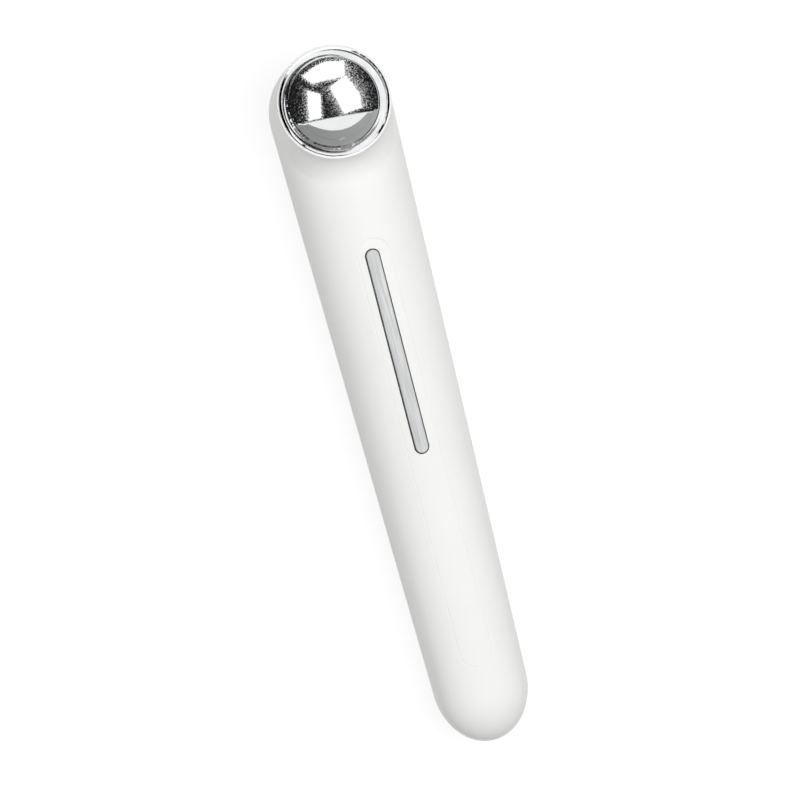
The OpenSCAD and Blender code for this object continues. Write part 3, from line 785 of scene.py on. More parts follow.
def finish_tree(tree, result, group_in, group_out):
    """Every tree ends in Realize Instances and Set Material."""
    realize = tree.nodes.new("GeometryNodeRealizeInstances")
    paint = tree.nodes.new("GeometryNodeSetMaterial")
    tree.links.new(result, realize.inputs[0])
    tree.links.new(realize.outputs[0], paint.inputs["Geometry"])
    tree.links.new(group_in.outputs["Material"], paint.inputs["Material"])
    tree.links.new(paint.outputs[0], group_out.inputs[0])


def run_tree(tree, points, edges, faces, values):
    """Points and faces that the tree makes from this mesh, in the wand's own frame."""
    mesh = bpy.data.meshes.new("seed")
    mesh.from_pydata([tuple(p) for p in points], edges, faces)
    seed = linked("seed", mesh)
    modifier = seed.modifiers.new("tree", "NODES")
    modifier.node_group = tree
    for item in tree.interface.items_tree:
        if item.item_type == "SOCKET" and item.in_out == "INPUT" and item.name in values:
            modifier[item.identifier] = values[item.name]
    made = bpy.data.meshes.new_from_object(seed.evaluated_get(bpy.context.evaluated_depsgraph_get()))
    out = (np.array([v.co for v in made.vertices]), [tuple(p.vertices) for p in made.polygons])
    seed.modifiers.clear()
    bpy.data.objects.remove(seed)
    bpy.data.meshes.remove(made)
    return out


# %% The tree that turns a section round an axis
turn_tree, group_in, group_out = make_tree("turned_ring", [
    ("Steps", "Int", 128), ("Circle Radius", "Float", 10.0), ("Material", "Material", None)])
circle = turn_tree.nodes.new("GeometryNodeCurvePrimitiveCircle")
section = turn_tree.nodes.new("GeometryNodeMeshToCurve")
sweep = turn_tree.nodes.new("GeometryNodeCurveToMesh")
link = turn_tree.links.new
link(group_in.outputs["Steps"], circle.inputs["Resolution"])
link(group_in.outputs["Circle Radius"], circle.inputs["Radius"])
link(group_in.outputs["Geometry"], section.inputs["Mesh"])
link(circle.outputs["Curve"], sweep.inputs["Curve"])
link(section.outputs["Curve"], sweep.inputs["Profile Curve"])
finish_tree(turn_tree, sweep.outputs["Mesh"], group_in, group_out)

# %% [markdown]
# The section starts at the skirt inside the collar, runs up to a flange that hides the collar's end, over
# a flat bevel and a rounded crest, and down the cove to the lip beside the ball. The bevel is what makes
# the dark arcs at the ring's sides in the picture: a flat face mirrors one small part of the room.

# %% Section of the ring
BALL_GAP, CUP_WALL = 0.12, 0.58
CUP_R = BALL_R + BALL_GAP + CUP_WALL
RIM_REACH, SKIRT_R, BEZEL_R = COLLAR_REACH + 0.7, BORE_R - 0.05, COLLAR_R - 0.42
SKIRT_END = BALL_REACH - 3.4
BEVEL_FACES = 53  # degrees up from straight out
LOW_ROUND, LOW_DROP, CREST_ROUND, CREST_IN = 0.05, 0.387, 0.12, 0.52  # the rounds below and above the bevel


def arc_points(centre, radius, start, end, count):
    """Points of an arc in the section, by angle from straight out, in degrees."""
    a = np.radians(np.linspace(start, end, count))
    return [(centre[0] + radius * c, centre[1] + radius * s) for c, s in zip(np.cos(a), np.sin(a))]


section = [(CUP_R + 0.05, SKIRT_END), (SKIRT_R, SKIRT_END), (SKIRT_R, COLLAR_REACH + REST_GAP),
           (BEZEL_R, COLLAR_REACH + REST_GAP)]
low = arc_points((BEZEL_R - LOW_ROUND, RIM_REACH - LOW_DROP), LOW_ROUND, 0, BEVEL_FACES, 5)
crest = arc_points((BEZEL_R - CREST_IN, RIM_REACH - CREST_ROUND), CREST_ROUND, BEVEL_FACES, 118, 9)
# Two more points close to the bevel's ends keep its smooth shading flat
section += low + [tuple(np.array(low[-1]) * (1 - t) + np.array(crest[0]) * t) for t in (0.05, 0.95)] + crest
COVE_SLOPES = 0.47, 0.9  # from the rim to the ball
cove_r, cove_reach = section[-1]
cove_w = cove_r - BALL_R - 0.02
for t in np.linspace(0, 1, 14)[1:]:
    drop = cove_w * (COVE_SLOPES[0] * t + (COVE_SLOPES[1] - COVE_SLOPES[0]) * t ** 2 / 2)
    section.append((cove_r - cove_w * t, cove_reach - drop))
section += arc_points((BALL_R + 0.08, section[-1][1] - 0.05), 0.07, 150, 260, 5)
section += [(CUP_R + 0.05, BALL_REACH + 0.6)]
CIRCLE_R = 10.0
profile = [(r - CIRCLE_R, BALL_REACH - h, 0.0) for r, h in section]
edges = [(i, (i + 1) % len(profile)) for i in range(len(profile))]
swept, faces = run_tree(turn_tree, profile, edges, [], {"Steps": 224, "Circle Radius": CIRCLE_R})
print("swept box:", swept.min(0).round(2), swept.max(0).round(2))
points = swept[:, :1] * SIDE + swept[:, 1:2] * HEADWARD + (swept[:, 2:] + BALL_REACH) * FACE
chrome_ring = new_object("chrome_ring", points, faces, "casing", "chrome", ["bezel_ring"], 1e-8)

# %% [markdown]
# ## Rows of small parts
# The lights under the window, the frame's screws and the contacts of the charging socket are copies of
# one small part in rows. One tree makes them all: it puts the part on the points of a line, then puts
# that row on the points of a second line.

# %% The tree that sets copies in rows
row_tree, group_in, group_out = make_tree("rows_of_copies", [
    ("Along Count", "Int", 2), ("Along Step", "Vector", (0.0, -1.0, 0.0)),
    ("Across Count", "Int", 1), ("Across Step", "Vector", (1.0, 0.0, 0.0)), ("Material", "Material", None)])
link = row_tree.links.new
copied = group_in.outputs["Geometry"]
for axis in ("Along", "Across"):
    line = row_tree.nodes.new("GeometryNodeMeshLine")
    place = row_tree.nodes.new("GeometryNodeInstanceOnPoints")
    link(group_in.outputs[axis + " Count"], line.inputs["Count"])
    link(group_in.outputs[axis + " Step"], line.inputs["Offset"])
    link(line.outputs["Mesh"], place.inputs["Points"])
    link(copied, place.inputs["Instance"])
    copied = place.outputs["Instances"]
finish_tree(row_tree, copied, group_in, group_out)


def boxy(x0, x1, y0, y1, z0, z1, bevel):
    """A box with rounded edges, as points and faces."""
    bm = bmesh.new()
    bmesh.ops.create_cube(bm, size=1.0)
    for v in bm.verts:
        v.co = [a + (b - a) * (c + 0.5) for a, b, c in zip((x0, y0, z0), (x1, y1, z1), v.co)]
    bmesh.ops.bevel(bm, geom=bm.edges[:], offset=bevel, segments=2, profile=0.5, affect="EDGES")
    out = (np.array([v.co for v in bm.verts]), [tuple(v.index for v in f.verts) for f in bm.faces])
    bm.free()
    return out


def joined(parts):
    points, faces, first = [], [], 0
    for p, f in parts:
        points.append(np.asarray(p))
        faces += [tuple(i + first for i in face) for face in f]
        first += len(p)
    return np.concatenate(points), faces


def turned(profile, steps=24):
    """A small solid turned round Z from (radius, height) points, closed at both ends."""
    angle = np.linspace(0, 2 * math.pi, steps, endpoint=False)
    points = [(r * math.cos(a), r * math.sin(a), h) for r, h in profile for a in angle]
    faces = web_quads(len(profile), steps)
    faces += [tuple(range(steps))[::-1], tuple((len(profile) - 1) * steps + i for i in range(steps))]
    return np.array(points), faces


# %% Lights: a white body with a round lens and two solder ends
BOARD_TOP, HINGE_STATION, LIGHT_COUNT = 6.2, 28.4, 5
first_light = HINGE_STATION + 5
light_pitch = (WINDOW_END - 4 - first_light) / (LIGHT_COUNT - 1)
light = joined([boxy(-0.55, 0.55, -0.62, 0.62, 0.02, 0.5, 0.05),
                *(boxy(-0.58, 0.58, y, y + 0.24, 0.02, 0.36, 0.04) for y in (-0.79, 0.55)),
                turned([(0.42, 0.4), (0.42, 0.52), (0.4, 0.6), (0.32, 0.68), (0.18, 0.73), (0.04, 0.75)])])
light[0][:] += [0, -first_light, BOARD_TOP]
points, faces = run_tree(row_tree, light[0], [], light[1],
                         {"Along Count": LIGHT_COUNT, "Along Step": (0.0, -light_pitch, 0.0)})
status_lights = new_object("light_row", points, faces, "casing", "light_chip", ["status_lights"])

# %% Screws: pan head with a round recess, seen when the cover is off
SCREW_STATIONS, SCREW_X, SCREW_SEAT, SCREW_REACH = (37.0, 105.5), 5.85, 2.6, 4.2
thread = [(0.55 if i % 2 else 0.46, -0.02 + 0.35 * i) for i in range(12)] + [(0.2, SCREW_REACH)]
RECESS = 0.25
head = [(0.45, RECESS - 0.92), (0.5, -0.9), (0.95, -0.92), (1.1, -0.8), (1.15, -0.5), (1.15, -0.06),
        (1.1, -0.02)]
screw = turned(head + thread, 20)
screw[0][:] += [-SCREW_X, -SCREW_STATIONS[0], SCREW_SEAT]
points, faces = run_tree(row_tree, screw[0], [], screw[1],
                         {"Along Count": 2, "Along Step": (0.0, SCREW_STATIONS[0] - SCREW_STATIONS[1], 0.0),
                          "Across Count": 2, "Across Step": (2 * SCREW_X, 0.0, 0.0)})
frame_screws = new_object("screw_set", points, faces, "casing", "steel", ["frame_screws"])

# %% Contacts: twelve plated strips on each side of the socket's tongue
SOCKET_INSET, SOCKET_LENGTH, SOCKET_PLATE = 1.8, 7.3, 0.35
tongue_start = TAIL_STATION + TAIL_LENGTH - SOCKET_INSET - SOCKET_LENGTH + SOCKET_PLATE
contact = boxy(-2.9, -2.62, -tongue_start - 6.0, -tongue_start - 2.2, -0.37, 0.37, 0.01)
contact[0][:] += [0, 0, SOCKET_HEIGHT]
points, faces = run_tree(row_tree, contact[0], [], contact[1],
                         {"Along Count": 12, "Along Step": (0.5, 0.0, 0.0)})
contacts = new_object("socket_contacts", points, faces, "casing", "nickel")

# %% [markdown]
# ## Effects shared by the finishes
# Every finish needs small irregularities at its own scale: the fine skin of moulded plastic, the haze and
# hair lines of polished metal, the drawn streaks in the light strip. Each effect is one shader group that
# puts out masks and heights, and each material uses it with its own values.

# %% Helpers for shader trees
def shader_group(name, inputs, outputs):
    """A shader group with these numbers and masks, and the sockets inside it."""
    group = bpy.data.node_groups.new(name, "ShaderNodeTree")
    group.interface.new_socket("Vector", in_out="INPUT", socket_type="NodeSocketVector")
    for label, value in inputs:
        group.interface.new_socket(label, in_out="INPUT", socket_type="NodeSocketFloat").default_value = value
    for label in outputs:
        group.interface.new_socket(label, in_out="OUTPUT", socket_type="NodeSocketFloat")
    return group, group.nodes.new("NodeGroupInput").outputs, group.nodes.new("NodeGroupOutput").inputs


def noise(group, vector, scale, detail=3.0, roughness=0.5):
    """A noise node whose scale is a link or a number."""
    n = group.nodes.new("ShaderNodeTexNoise")
    n.inputs["Detail"].default_value = detail
    n.inputs["Roughness"].default_value = roughness
    group.links.new(vector, n.inputs["Vector"])
    if isinstance(scale, (int, float)):
        n.inputs["Scale"].default_value = scale
    else:
        group.links.new(scale, n.inputs["Scale"])
    return n.outputs["Fac"]


def math_node(group, operation, *values, clamp=False):
    n = group.nodes.new("ShaderNodeMath")
    n.operation, n.use_clamp = operation, clamp
    for socket, value in zip(n.inputs, values):
        if isinstance(value, (int, float)):
            socket.default_value = value
        else:
            group.links.new(value, socket)
    return n.outputs[0]


def spread(group, value, low, high):
    """Stretches the values between low and high to 0 and 1."""
    n = group.nodes.new("ShaderNodeMapRange")
    group.links.new(value, n.inputs["Value"])
    n.inputs["From Min"].default_value, n.inputs["From Max"].default_value = low, high
    return n.outputs["Result"]


def ramp(group, value, start, end):
    """Stretches 0 and 1 to start and end."""
    n = group.nodes.new("ShaderNodeMapRange")
    group.links.new(value, n.inputs["Value"])
    n.inputs["To Min"].default_value, n.inputs["To Max"].default_value = start, end
    return n.outputs["Result"]


def noise_mask(group, vector, scale, low, high, target, detail=3.0):
    """Noise, stretched between low and high, to one output of a group."""
    group.links.new(spread(group, noise(group, vector, scale, detail), low, high), target)


# %% Shader groups
# Moulded skin: fine pits, and broad soft clouds where the plastic cooled unevenly
skin_group, given, out = shader_group("moulded_skin", [("Pit Scale", 9000.0), ("Cloud Scale", 60.0)],
                                      ["Pits", "Clouds"])
noise_mask(skin_group, given["Vector"], given["Pit Scale"], 0.3, 0.7, out["Pits"], 2.0)
noise_mask(skin_group, given["Vector"], given["Cloud Scale"], 0.3, 0.7, out["Clouds"])

# Polished metal: grains of haze, and hair lines left by wiping
HAZE_SCALE = 350.0
polish_group, given, out = shader_group("polish_marks", [("Grain Scale", 14000.0), ("Line Scale", 900.0)],
                                        ["Grains", "Lines", "Haze"])
noise_mask(polish_group, given["Vector"], given["Grain Scale"], 0.35, 0.65, out["Grains"], 1.0)
waves = polish_group.nodes.new("ShaderNodeTexWave")
waves.wave_type, waves.bands_direction = "BANDS", "DIAGONAL"
waves.inputs["Distortion"].default_value, waves.inputs["Detail"].default_value = 14.0, 2.0
polish_group.links.new(given["Vector"], waves.inputs["Vector"])
polish_group.links.new(given["Line Scale"], waves.inputs["Scale"])
polish_group.links.new(spread(polish_group, waves.outputs["Fac"], 0.9, 1.0), out["Lines"])
noise_mask(polish_group, given["Vector"], HAZE_SCALE, 0.4, 0.75, out["Haze"])

# Drawn streaks: noise stretched along the wand
streak_group, given, out = shader_group("drawn_streaks", [("Width Scale", 2500.0), ("Length Scale", 60.0)],
                                        ["Streaks", "Broad"])
combine = streak_group.nodes.new("ShaderNodeCombineXYZ")
for i, label in enumerate(("Width Scale", "Length Scale", "Width Scale")):
    streak_group.links.new(given[label], combine.inputs[i])
stretch = streak_group.nodes.new("ShaderNodeVectorMath")
stretch.operation = "MULTIPLY"
streak_group.links.new(given["Vector"], stretch.inputs[0])
streak_group.links.new(combine.outputs[0], stretch.inputs[1])
noise_mask(streak_group, stretch.outputs[0], 1.0, 0.3, 0.7, out["Streaks"], 2.0)
noise_mask(streak_group, stretch.outputs[0], 0.35, 0.3, 0.7, out["Broad"], 1.0)
print("shader groups:", [g.name for g in (skin_group, polish_group, streak_group)])

# %% [markdown]
# ## Finishes
# Each material mixes two close colours by a mask, moves its roughness a little with another, and bumps
# its surface with a third. Numbers that are the same all over are set on the shader itself.

# %% A helper for the finishes
def finish(name, group, settings, colours, colour_mask, rough, rough_mask, bump, **shader):
    """A material: two colours and two roughness values by masks, and a bump (mask, strength, depth)."""
    material = bpy.data.materials.new(name)
    material.use_nodes = True
    tree = material.node_tree
    bsdf = tree.nodes["Principled BSDF"]
    where = tree.nodes.new("ShaderNodeTexCoord")
    effect = tree.nodes.new("ShaderNodeGroup")
    effect.node_tree = group
    tree.links.new(where.outputs["Object"], effect.inputs["Vector"])
    for label, value in settings.items():
        effect.inputs[label].default_value = value
    mix = tree.nodes.new("ShaderNodeMix")
    mix.data_type = "RGBA"
    mix.inputs[6].default_value, mix.inputs[7].default_value = (*colours[0], 1), (*colours[1], 1)
    tree.links.new(effect.outputs[colour_mask], mix.inputs[0])
    tree.links.new(mix.outputs[2], bsdf.inputs["Base Color"])
    tree.links.new(ramp(tree, effect.outputs[rough_mask], *rough), bsdf.inputs["Roughness"])
    node = tree.nodes.new("ShaderNodeBump")
    node.inputs["Strength"].default_value, node.inputs["Distance"].default_value = bump[1:]
    tree.links.new(effect.outputs[bump[0]], node.inputs["Height"])
    tree.links.new(node.outputs[0], bsdf.inputs["Normal"])
    for label, value in shader.items():
        bsdf.inputs[label.replace("_", " ")].default_value = value
    return material


# %% Plastics
finishes = {}


def plastic(slot, name, scales, colours, rough, bump, masks=("Clouds", "Pits", "Pits"), **shader):
    """A finish with the moulded skin: scales of pits and clouds; masks of colour, roughness and bump."""
    finishes[slot] = finish(name, skin_group, dict(zip(("Pit Scale", "Cloud Scale"), scales)), colours,
                            masks[0], rough, masks[1], (masks[2], *bump), **shader)


plastic("shell_plastic", "satin white plastic", (9000, 60), [(0.862, 0.86, 0.845), (0.882, 0.88, 0.866)],
        (0.42, 0.48), (0.12, 0.00002), Specular_IOR_Level=0.4)
plastic("key_plastic", "key white plastic", (11000, 60), [(0.864, 0.862, 0.847), (0.884, 0.882, 0.868)],
        (0.4, 0.46), (0.1, 0.00002), Specular_IOR_Level=0.4)
plastic("dark_edge", "dark window edge", (12000, 60), [(0.03, 0.03, 0.033), (0.07, 0.07, 0.075)],
        (0.3, 0.42), (0.2, 0.00001))
plastic("baffle_plastic", "white baffle plastic", (5000, 60), [(0.8, 0.8, 0.79), (0.86, 0.86, 0.85)],
        (0.5, 0.6), (0.3, 0.00003))
plastic("inner_plastic", "grey glass-filled plastic", (4000, 200), [(0.1, 0.1, 0.11), (0.16, 0.165, 0.17)],
        (0.5, 0.7), (0.5, 0.00004))
plastic("black_resin", "black resin", (7000, 60), [(0.015, 0.015, 0.017), (0.035, 0.035, 0.038)],
        (0.4, 0.55), (0.4, 0.00002))
plastic("rubber", "soft rubber", (3500, 60), [(0.03, 0.03, 0.03), (0.06, 0.06, 0.06)],
        (0.75, 0.9), (0.5, 0.00005))
plastic("foam", "open foam", (2200, 60), [(0.07, 0.07, 0.075), (0.15, 0.15, 0.155)],
        (0.85, 0.98), (0.9, 0.0002), ("Pits", "Clouds", "Pits"))
plastic("board", "green circuit board", (1800, 500), [(0.012, 0.11, 0.04), (0.03, 0.2, 0.08)],
        (0.28, 0.4), (0.2, 0.00004), ("Clouds", "Pits", "Clouds"))
plastic("battery_wrap", "blue shrink wrap", (2500, 150), [(0.03, 0.1, 0.32), (0.05, 0.15, 0.42)],
        (0.22, 0.34), (0.4, 0.00008), ("Clouds", "Pits", "Clouds"))
plastic("light_chip", "light chip", (9000, 900), [(0.85, 0.8, 0.5), (0.9, 0.88, 0.72)],
        (0.2, 0.35), (0.1, 0.00001))
plastic("heater_film", "amber heater film", (2600, 400), [(0.35, 0.14, 0.04), (0.5, 0.24, 0.08)],
        (0.2, 0.35), (0.25, 0.00003))
finishes["window_plastic"] = finish(
    "frosted light strip", streak_group, {}, [(0.52, 0.53, 0.53), (0.72, 0.73, 0.73)],
    "Streaks", (0.16, 0.3), "Broad", ("Streaks", 0.25, 0.00003), Coat_Weight=0.4, Coat_Roughness=0.12)
print("plastics:", len(finishes))

# %% Metals
METALS = {
    "chrome": ("polished chrome", polish_group, {}, [(0.86, 0.865, 0.87), (0.8, 0.805, 0.81)],
               "Haze", (0.02, 0.07), "Haze", ("Grains", 0.06, 0.00001)),
    "steel": ("zinc-plated steel", polish_group, {"Grain Scale": 6000},
              [(0.55, 0.56, 0.58), (0.45, 0.46, 0.48)], "Haze", (0.25, 0.4), "Grains",
              ("Lines", 0.2, 0.00002)),
    "nickel": ("nickel plate", polish_group, {"Grain Scale": 9000}, [(0.6, 0.57, 0.5), (0.52, 0.49, 0.43)],
               "Haze", (0.18, 0.3), "Grains", ("Lines", 0.15, 0.00001)),
    "cup_metal": ("brushed aluminium cup", streak_group, {"Width Scale": 4000, "Length Scale": 300},
                  [(0.62, 0.63, 0.64), (0.72, 0.73, 0.74)], "Streaks", (0.25, 0.38), "Broad",
                  ("Streaks", 0.2, 0.00002)),
    "weight_metal": ("sintered tungsten", polish_group, {"Grain Scale": 3000},
                     [(0.3, 0.3, 0.27), (0.38, 0.38, 0.35)], "Grains", (0.4, 0.55), "Haze",
                     ("Grains", 0.4, 0.00003))}
for slot, values in METALS.items():
    finishes[slot] = finish(*values, Metallic=1.0)
print("finishes:", len(finishes))

# %% [markdown]
# The record names the finish of every CAD node, and the new pieces were given theirs when they were made.
# Both take their material from the same list here, so that no piece keeps a plain colour.

# %% Paint everything
shown = [massage_ball, chrome_ring, front_housing, rear_cover, key_plate, gasket, light_window,
         status_lights, frame_screws, contacts]
for piece in shown:
    piece.data.materials.clear()
    piece.data.materials.append(finishes[piece["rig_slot"]])
for node in frame["nodes"].values():
    for i, material in enumerate(node.data.materials):
        node.material_slots[i].link = "OBJECT"
        node.material_slots[i].material = finishes[material.name.split(".")[0]]
print("painted:", len(shown), "pieces and", len(frame["nodes"]), "nodes")

# %% [markdown]
# ## Stage
# The wand lies on a white floor in front of a white world. Light Path makes both pure white for the
# camera, reflections and glass, while the light that falls on the wand stays soft and plain. The floor
# keeps the shadow.

# %% Floor and world
def seen_directly(tree):
    """1 for camera, glossy and transmission rays, 0 for the light that falls on surfaces."""
    path = tree.nodes.new("ShaderNodeLightPath")
    seen = math_node(tree, "ADD", path.outputs["Is Camera Ray"], path.outputs["Is Glossy Ray"], clamp=True)
    return math_node(tree, "ADD", seen, path.outputs["Is Transmission Ray"], clamp=True)


FLOOR_SIZE, FLOOR_DROP, FLOOR_PAINT, FLOOR_GLOW, SEEN_GLOW, WORLD_LIGHT = 4.0, 0.0003, 0.16, 0.47, 0.4, 0.21
world = bpy.data.worlds.new("world")
world.use_nodes = True
bpy.context.scene.world = world
background = world.node_tree.nodes["Background"]
background.inputs["Color"].default_value = (1, 1, 1, 1)
strength = ramp(world.node_tree, seen_directly(world.node_tree), WORLD_LIGHT, 1.0)
world.node_tree.links.new(strength, background.inputs["Strength"])

floor_mesh = bpy.data.meshes.new("floor")
h = FLOOR_SIZE / 2
corners = [(x, y, -FLOOR_DROP) for x, y in ((-h, -h), (h, -h), (h, h), (-h, h))]
floor_mesh.from_pydata(corners, [], [(0, 1, 2, 3)])
floor = linked("floor", floor_mesh)
floor_material = bpy.data.materials.new("white floor")
floor_material.use_nodes = True
tree = floor_material.node_tree
tree.nodes.remove(tree.nodes["Principled BSDF"])
paint, glow, add = (tree.nodes.new("ShaderNode" + n) for n in ("BsdfDiffuse", "Emission", "AddShader"))
paint.inputs["Color"].default_value = (FLOOR_PAINT, FLOOR_PAINT, FLOOR_PAINT, 1)
lit = math_node(tree, "MULTIPLY_ADD", seen_directly(tree), SEEN_GLOW, FLOOR_GLOW)
tree.links.new(lit, glow.inputs["Strength"])
tree.links.new(paint.outputs[0], add.inputs[0])
tree.links.new(glow.outputs[0], add.inputs[1])
tree.links.new(add.outputs[0], tree.nodes["Material Output"].inputs["Surface"])
floor_mesh.materials.append(floor_material)
print("world and floor, lit at", WORLD_LIGHT, "and", FLOOR_GLOW)

# %% [markdown]
# ## Lights and cards
# A large soft lamp over the wand, a little to the right, gives the body its roundness: bright in the
# middle, darker to the left. A weak lamp at the left keeps that side from going grey. The ball needs
# something to reflect. As in a studio, black cards stand round the camera, and soft white panels on them
# make the shapes in the ball. Each spot of a card is placed where the ball mirrors it: the spot on the
# ball's disc gives a surface direction, and the mirrored view leads to the card. Only mirrors see the
# cards. They glow towards the ball and are clear from behind.

# %% Soft lamps
LAMP_DISTANCE, LAMP_SIZE = 1.6, 1.0
wand_middle = np.array([0.0, -ORIGIN_STATION, 0.0])


def lamp(name, towards, watts):
    """A square soft lamp in the direction (right, up, towards the camera) from the wand's middle."""
    light = bpy.data.lights.new(name, "AREA")
    light.shape, light.size, light.energy = "SQUARE", LAMP_SIZE, watts
    direction = unit(towards[0] * across + towards[1] * along + towards[2] * back)
    place = laid([wand_middle + direction * LAMP_DISTANCE * 1000])[0]
    obj = linked(name, light)
    turn = Matrix([laid_direction(v) for v in basis_facing(direction)]).transposed().to_4x4()
    obj.matrix_world = Matrix.Translation(place) @ turn
    obj.visible_glossy = False
    print(name, watts, "W")


def basis_facing(direction):
    """Right, up and back of something at that direction that looks at the wand."""
    right = unit(np.cross(along, direction))
    return right, np.cross(direction, right), direction


lamp("key_lamp", (0.33, -0.08, 0.93), 22.9)
lamp("fill_lamp", (-0.86, 0.0, 0.5), 5.2)

# %% Cards for the ball to mirror
ball_centre = FACE * BALL_REACH
world_up = -laid_flat_normal
FLOOR_CLEARANCE, SEARCH_REACH, FREE_SHARE = 1.0, 80.0, 0.85  # how far a card keeps off the floor and the wand


def mirrored_ray(x, y):
    """Where the view meets the ball at (x, y) of its disc (right, to the tail), and where it goes."""
    n = x * across - y * along + math.sqrt(max(1 - x * x - y * y, 0.0)) * back
    return ball_centre + BALL_R * n, 2 * (n @ back) * n - back


def free_length(start, direction, most):
    """How far a mirrored ray runs before it nears the floor or the wand."""
    height = start @ world_up + HEAD_R - FLAT_DEPTH
    drop = -direction @ world_up
    if drop > 0:
        most = min(most, (height - FLOOR_CLEARANCE) / drop)
    steps = np.geomspace(0.05, min(most, SEARCH_REACH), 300)
    p = start + direction * steps[:, None]
    near = np.nonzero(np.maximum(housing_form(p), p @ FACE - RIM_REACH) < 0.0)[0]
    return FREE_SHARE * steps[near[0]] if len(near) else most


def glow_material(name):
    """A material that glows from its front and is clear from behind, with its tree and its Emission."""
    material = bpy.data.materials.new(name)
    material.use_nodes = True
    tree = material.node_tree
    tree.nodes.remove(tree.nodes["Principled BSDF"])
    glow, clear, side, mix = (tree.nodes.new("ShaderNode" + n) for n in (
        "Emission", "BsdfTransparent", "NewGeometry", "MixShader"))
    tree.links.new(side.outputs["Backfacing"], mix.inputs[0])
    tree.links.new(glow.outputs[0], mix.inputs[1])
    tree.links.new(clear.outputs[0], mix.inputs[2])
    tree.links.new(mix.outputs[0], tree.nodes["Material Output"].inputs["Surface"])
    return material, tree, glow


def kept_value(tree, name):
    """What card() keeps on the points under this name."""
    node = tree.nodes.new("ShaderNodeAttribute")
    node.attribute_name = name
    return node.outputs


def card(name, corners, material, light, cell=0.02, distance=900.0):
    """A card that the ball mirrors as this outline; light(x, y) is kept on its points."""
    rim = []
    for a, b in zip(np.array(corners), np.roll(corners, -1, 0)):
        count = max(1, round(np.hypot(*(b - a)) / cell))
        rim += [tuple(a + (b - a) * k / count) for k in range(count)]
    ticks = np.arange(-0.96, 0.97, cell)
    grid = [(x, y) for x in ticks for y in ticks if x * x + y * y < 0.93]
    edges = [(k, (k + 1) % len(rim)) for k in range(len(rim))]
    flat, _, faces, *_ = delaunay_2d_cdt([Vector(c) for c in rim + grid], edges, [], 1, 1e-4)
    points = []
    for c in flat:
        start, direction = mirrored_ray(*c)
        points.append(start + direction * free_length(start, direction, distance))
    mesh = bpy.data.meshes.new(name)
    mesh.from_pydata(laid(points).tolist(), [], faces)
    mesh.materials.append(material)
    share = mesh.attributes.new("light", "FLOAT", "POINT")
    spot = mesh.attributes.new("spot", "FLOAT_VECTOR", "POINT")
    for i, c in enumerate(flat):
        share.data[i].value = light(*c)
        spot.data[i].vector = (*c, 0.0)
    staged_card(name, mesh)


def staged_card(name, mesh):
    """Links a card as a part of the stage that only mirrors see."""
    obj = linked(name, mesh)
    obj.visible_camera = obj.visible_diffuse = obj.visible_shadow = obj.visible_transmission = False
    print(name, len(mesh.polygons), "faces")


def limb(start, end, count=40, r=0.985):
    """Spots near the ball's edge, by angle from the right towards the tail, in degrees."""
    turns = [math.radians(a) for a in np.linspace(start, end, count)]
    return [(r * math.cos(a), r * math.sin(a)) for a in turns]


# %% Panels with soft sides, as a lamp behind a cloth makes them
PANELS = [  # corners on the disc, clockwise, each with the softness of the side that starts there
    [(-.51, -.73, .05), (-.25, -.85, .06), (.05, -.91, .08), (.43, -.83, .2), (.37, -.49, .08),
     (-.35, -.51, .05)],
    [(-.49, -.39, .05), (-.24, -.23, .04), (-.35, .27, .03), (-.63, .25, .1)],
    [(0, -.33, .05), (.40, -.50, .2), (.59, -.03, .16), (.57, .26, .04), (.16, .31, .14)]]


def panel_light(x, y):
    """1 inside a panel, and outside it a share that fades over the softness of the nearest side."""
    best = 0.0
    for panel in PANELS:
        share = 1.0
        for (ax, ay, soft), (bx, by, _) in zip(panel, panel[1:] + panel[:1]):
            inside = ((bx - ax) * (y - ay) - (by - ay) * (x - ax)) / math.hypot(bx - ax, by - ay)
            share = min(share, 1.0 if inside > 0 else 0.5 * math.exp(inside / soft))
        best = max(best, share)
    return best
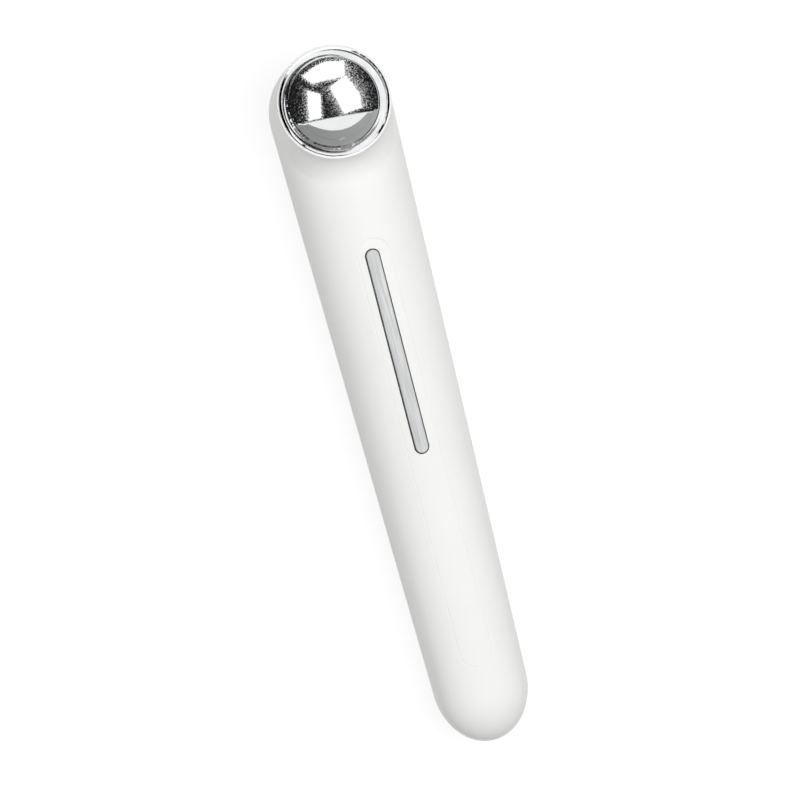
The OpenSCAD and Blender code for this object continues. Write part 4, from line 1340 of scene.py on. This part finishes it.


# A soft side breaks up into specks painted into the cards' glow, so the ball mirrors them like the grain of
# its polish
# The first number is the painted faint glow of the black cards, which the ball mirrors as its dark parts.
CARD_BLACK_GLOW, PANEL_WHITE, SPECK_SCALE, SPECK_SLOPE, SPECK_LIFT = 0.012, 1.25, 43.0, 5.0, 0.1
studio, tree, glow = glow_material("black cloth and lamps")
specks = spread(tree, noise(tree, kept_value(tree, "spot")["Vector"], SPECK_SCALE, 2.0), 0.36, 0.72)
above = math_node(tree, "SUBTRACT", kept_value(tree, "light")["Fac"], specks)
edge = math_node(tree, "MULTIPLY_ADD", above, SPECK_SLOPE, SPECK_LIFT, clamp=True)
tree.links.new(ramp(tree, edge, CARD_BLACK_GLOW, PANEL_WHITE), glow.inputs["Strength"])
horizon = [(0.57, 0.375), (0.0, 0.34), (-0.67, 0.285)]
card("black_cards", limb(-195, 23) + horizon, studio, panel_light)

# %% The grey card under the horizon: a painted reflection that glows grey, lighter to the right
grey, tree, glow = glow_material("grey card")
tree.links.new(kept_value(tree, "light")["Fac"], glow.inputs["Strength"])
crescent = [(x, 0.63 + 0.06 * x - 0.62 * x * x) for x in np.linspace(-0.67, 0.67, 24)]
card("grey_card", crescent + limb(24, 163), grey, lambda x, y: 0.36 + 0.08 * x)


# %% Black strips beside the ring, for the dark arcs in its bevel
BEVEL_IN, BEVEL_DROP, BEVEL_RISE, STRIP_PARTS = 0.43, 0.35, 0.33, 99


def bevel_card(name, spots, away=1.2):
    """A black strip that the bevel mirrors; spots are angles and shares of the bevel, from outside."""
    angles, shares = zip(*spots)
    up, out = math.sin(math.radians(BEVEL_FACES)), math.cos(math.radians(BEVEL_FACES))
    points = []
    for angle in np.linspace(angles[0], angles[-1], STRIP_PARTS + 1):
        radial = math.cos(math.radians(angle)) * SIDE + math.sin(math.radians(angle)) * HEADWARD
        n = out * radial + up * FACE
        for share in (-0.25, 1.2 * np.interp(angle, angles, shares)):
            start = radial * (BEZEL_R - BEVEL_IN * share)
            start += FACE * (RIM_REACH - BEVEL_DROP + BEVEL_RISE * share)
            points.append(start + away * (2 * (n @ back) * n - back))
    mesh = bpy.data.meshes.new(name)
    faces = [(2 * i, 2 * i + 1, 2 * i + 3, 2 * i + 2) for i in range(STRIP_PARTS)]
    mesh.from_pydata(laid(points).tolist(), [], faces)
    mesh.materials.append(strips)
    staged_card(name, mesh)


strips, tree, glow = glow_material("black strips")
glow.inputs["Strength"].default_value = 0.0
bevel_card("left_strip", [(140, 0), (147, .75), (160, 1), (178, 1), (195, .75), (203, .35), (235, .3),
                          (262, .35), (275, 0)])
bevel_card("right_strip", [(-75, 0), (-55, .2), (-38, .4), (-15, .8), (2, .4), (30, .15), (45, 0)])
print("cards placed round the ball and the ring")

# %% Standard view transform
bpy.context.scene.view_settings.view_transform = "Standard"
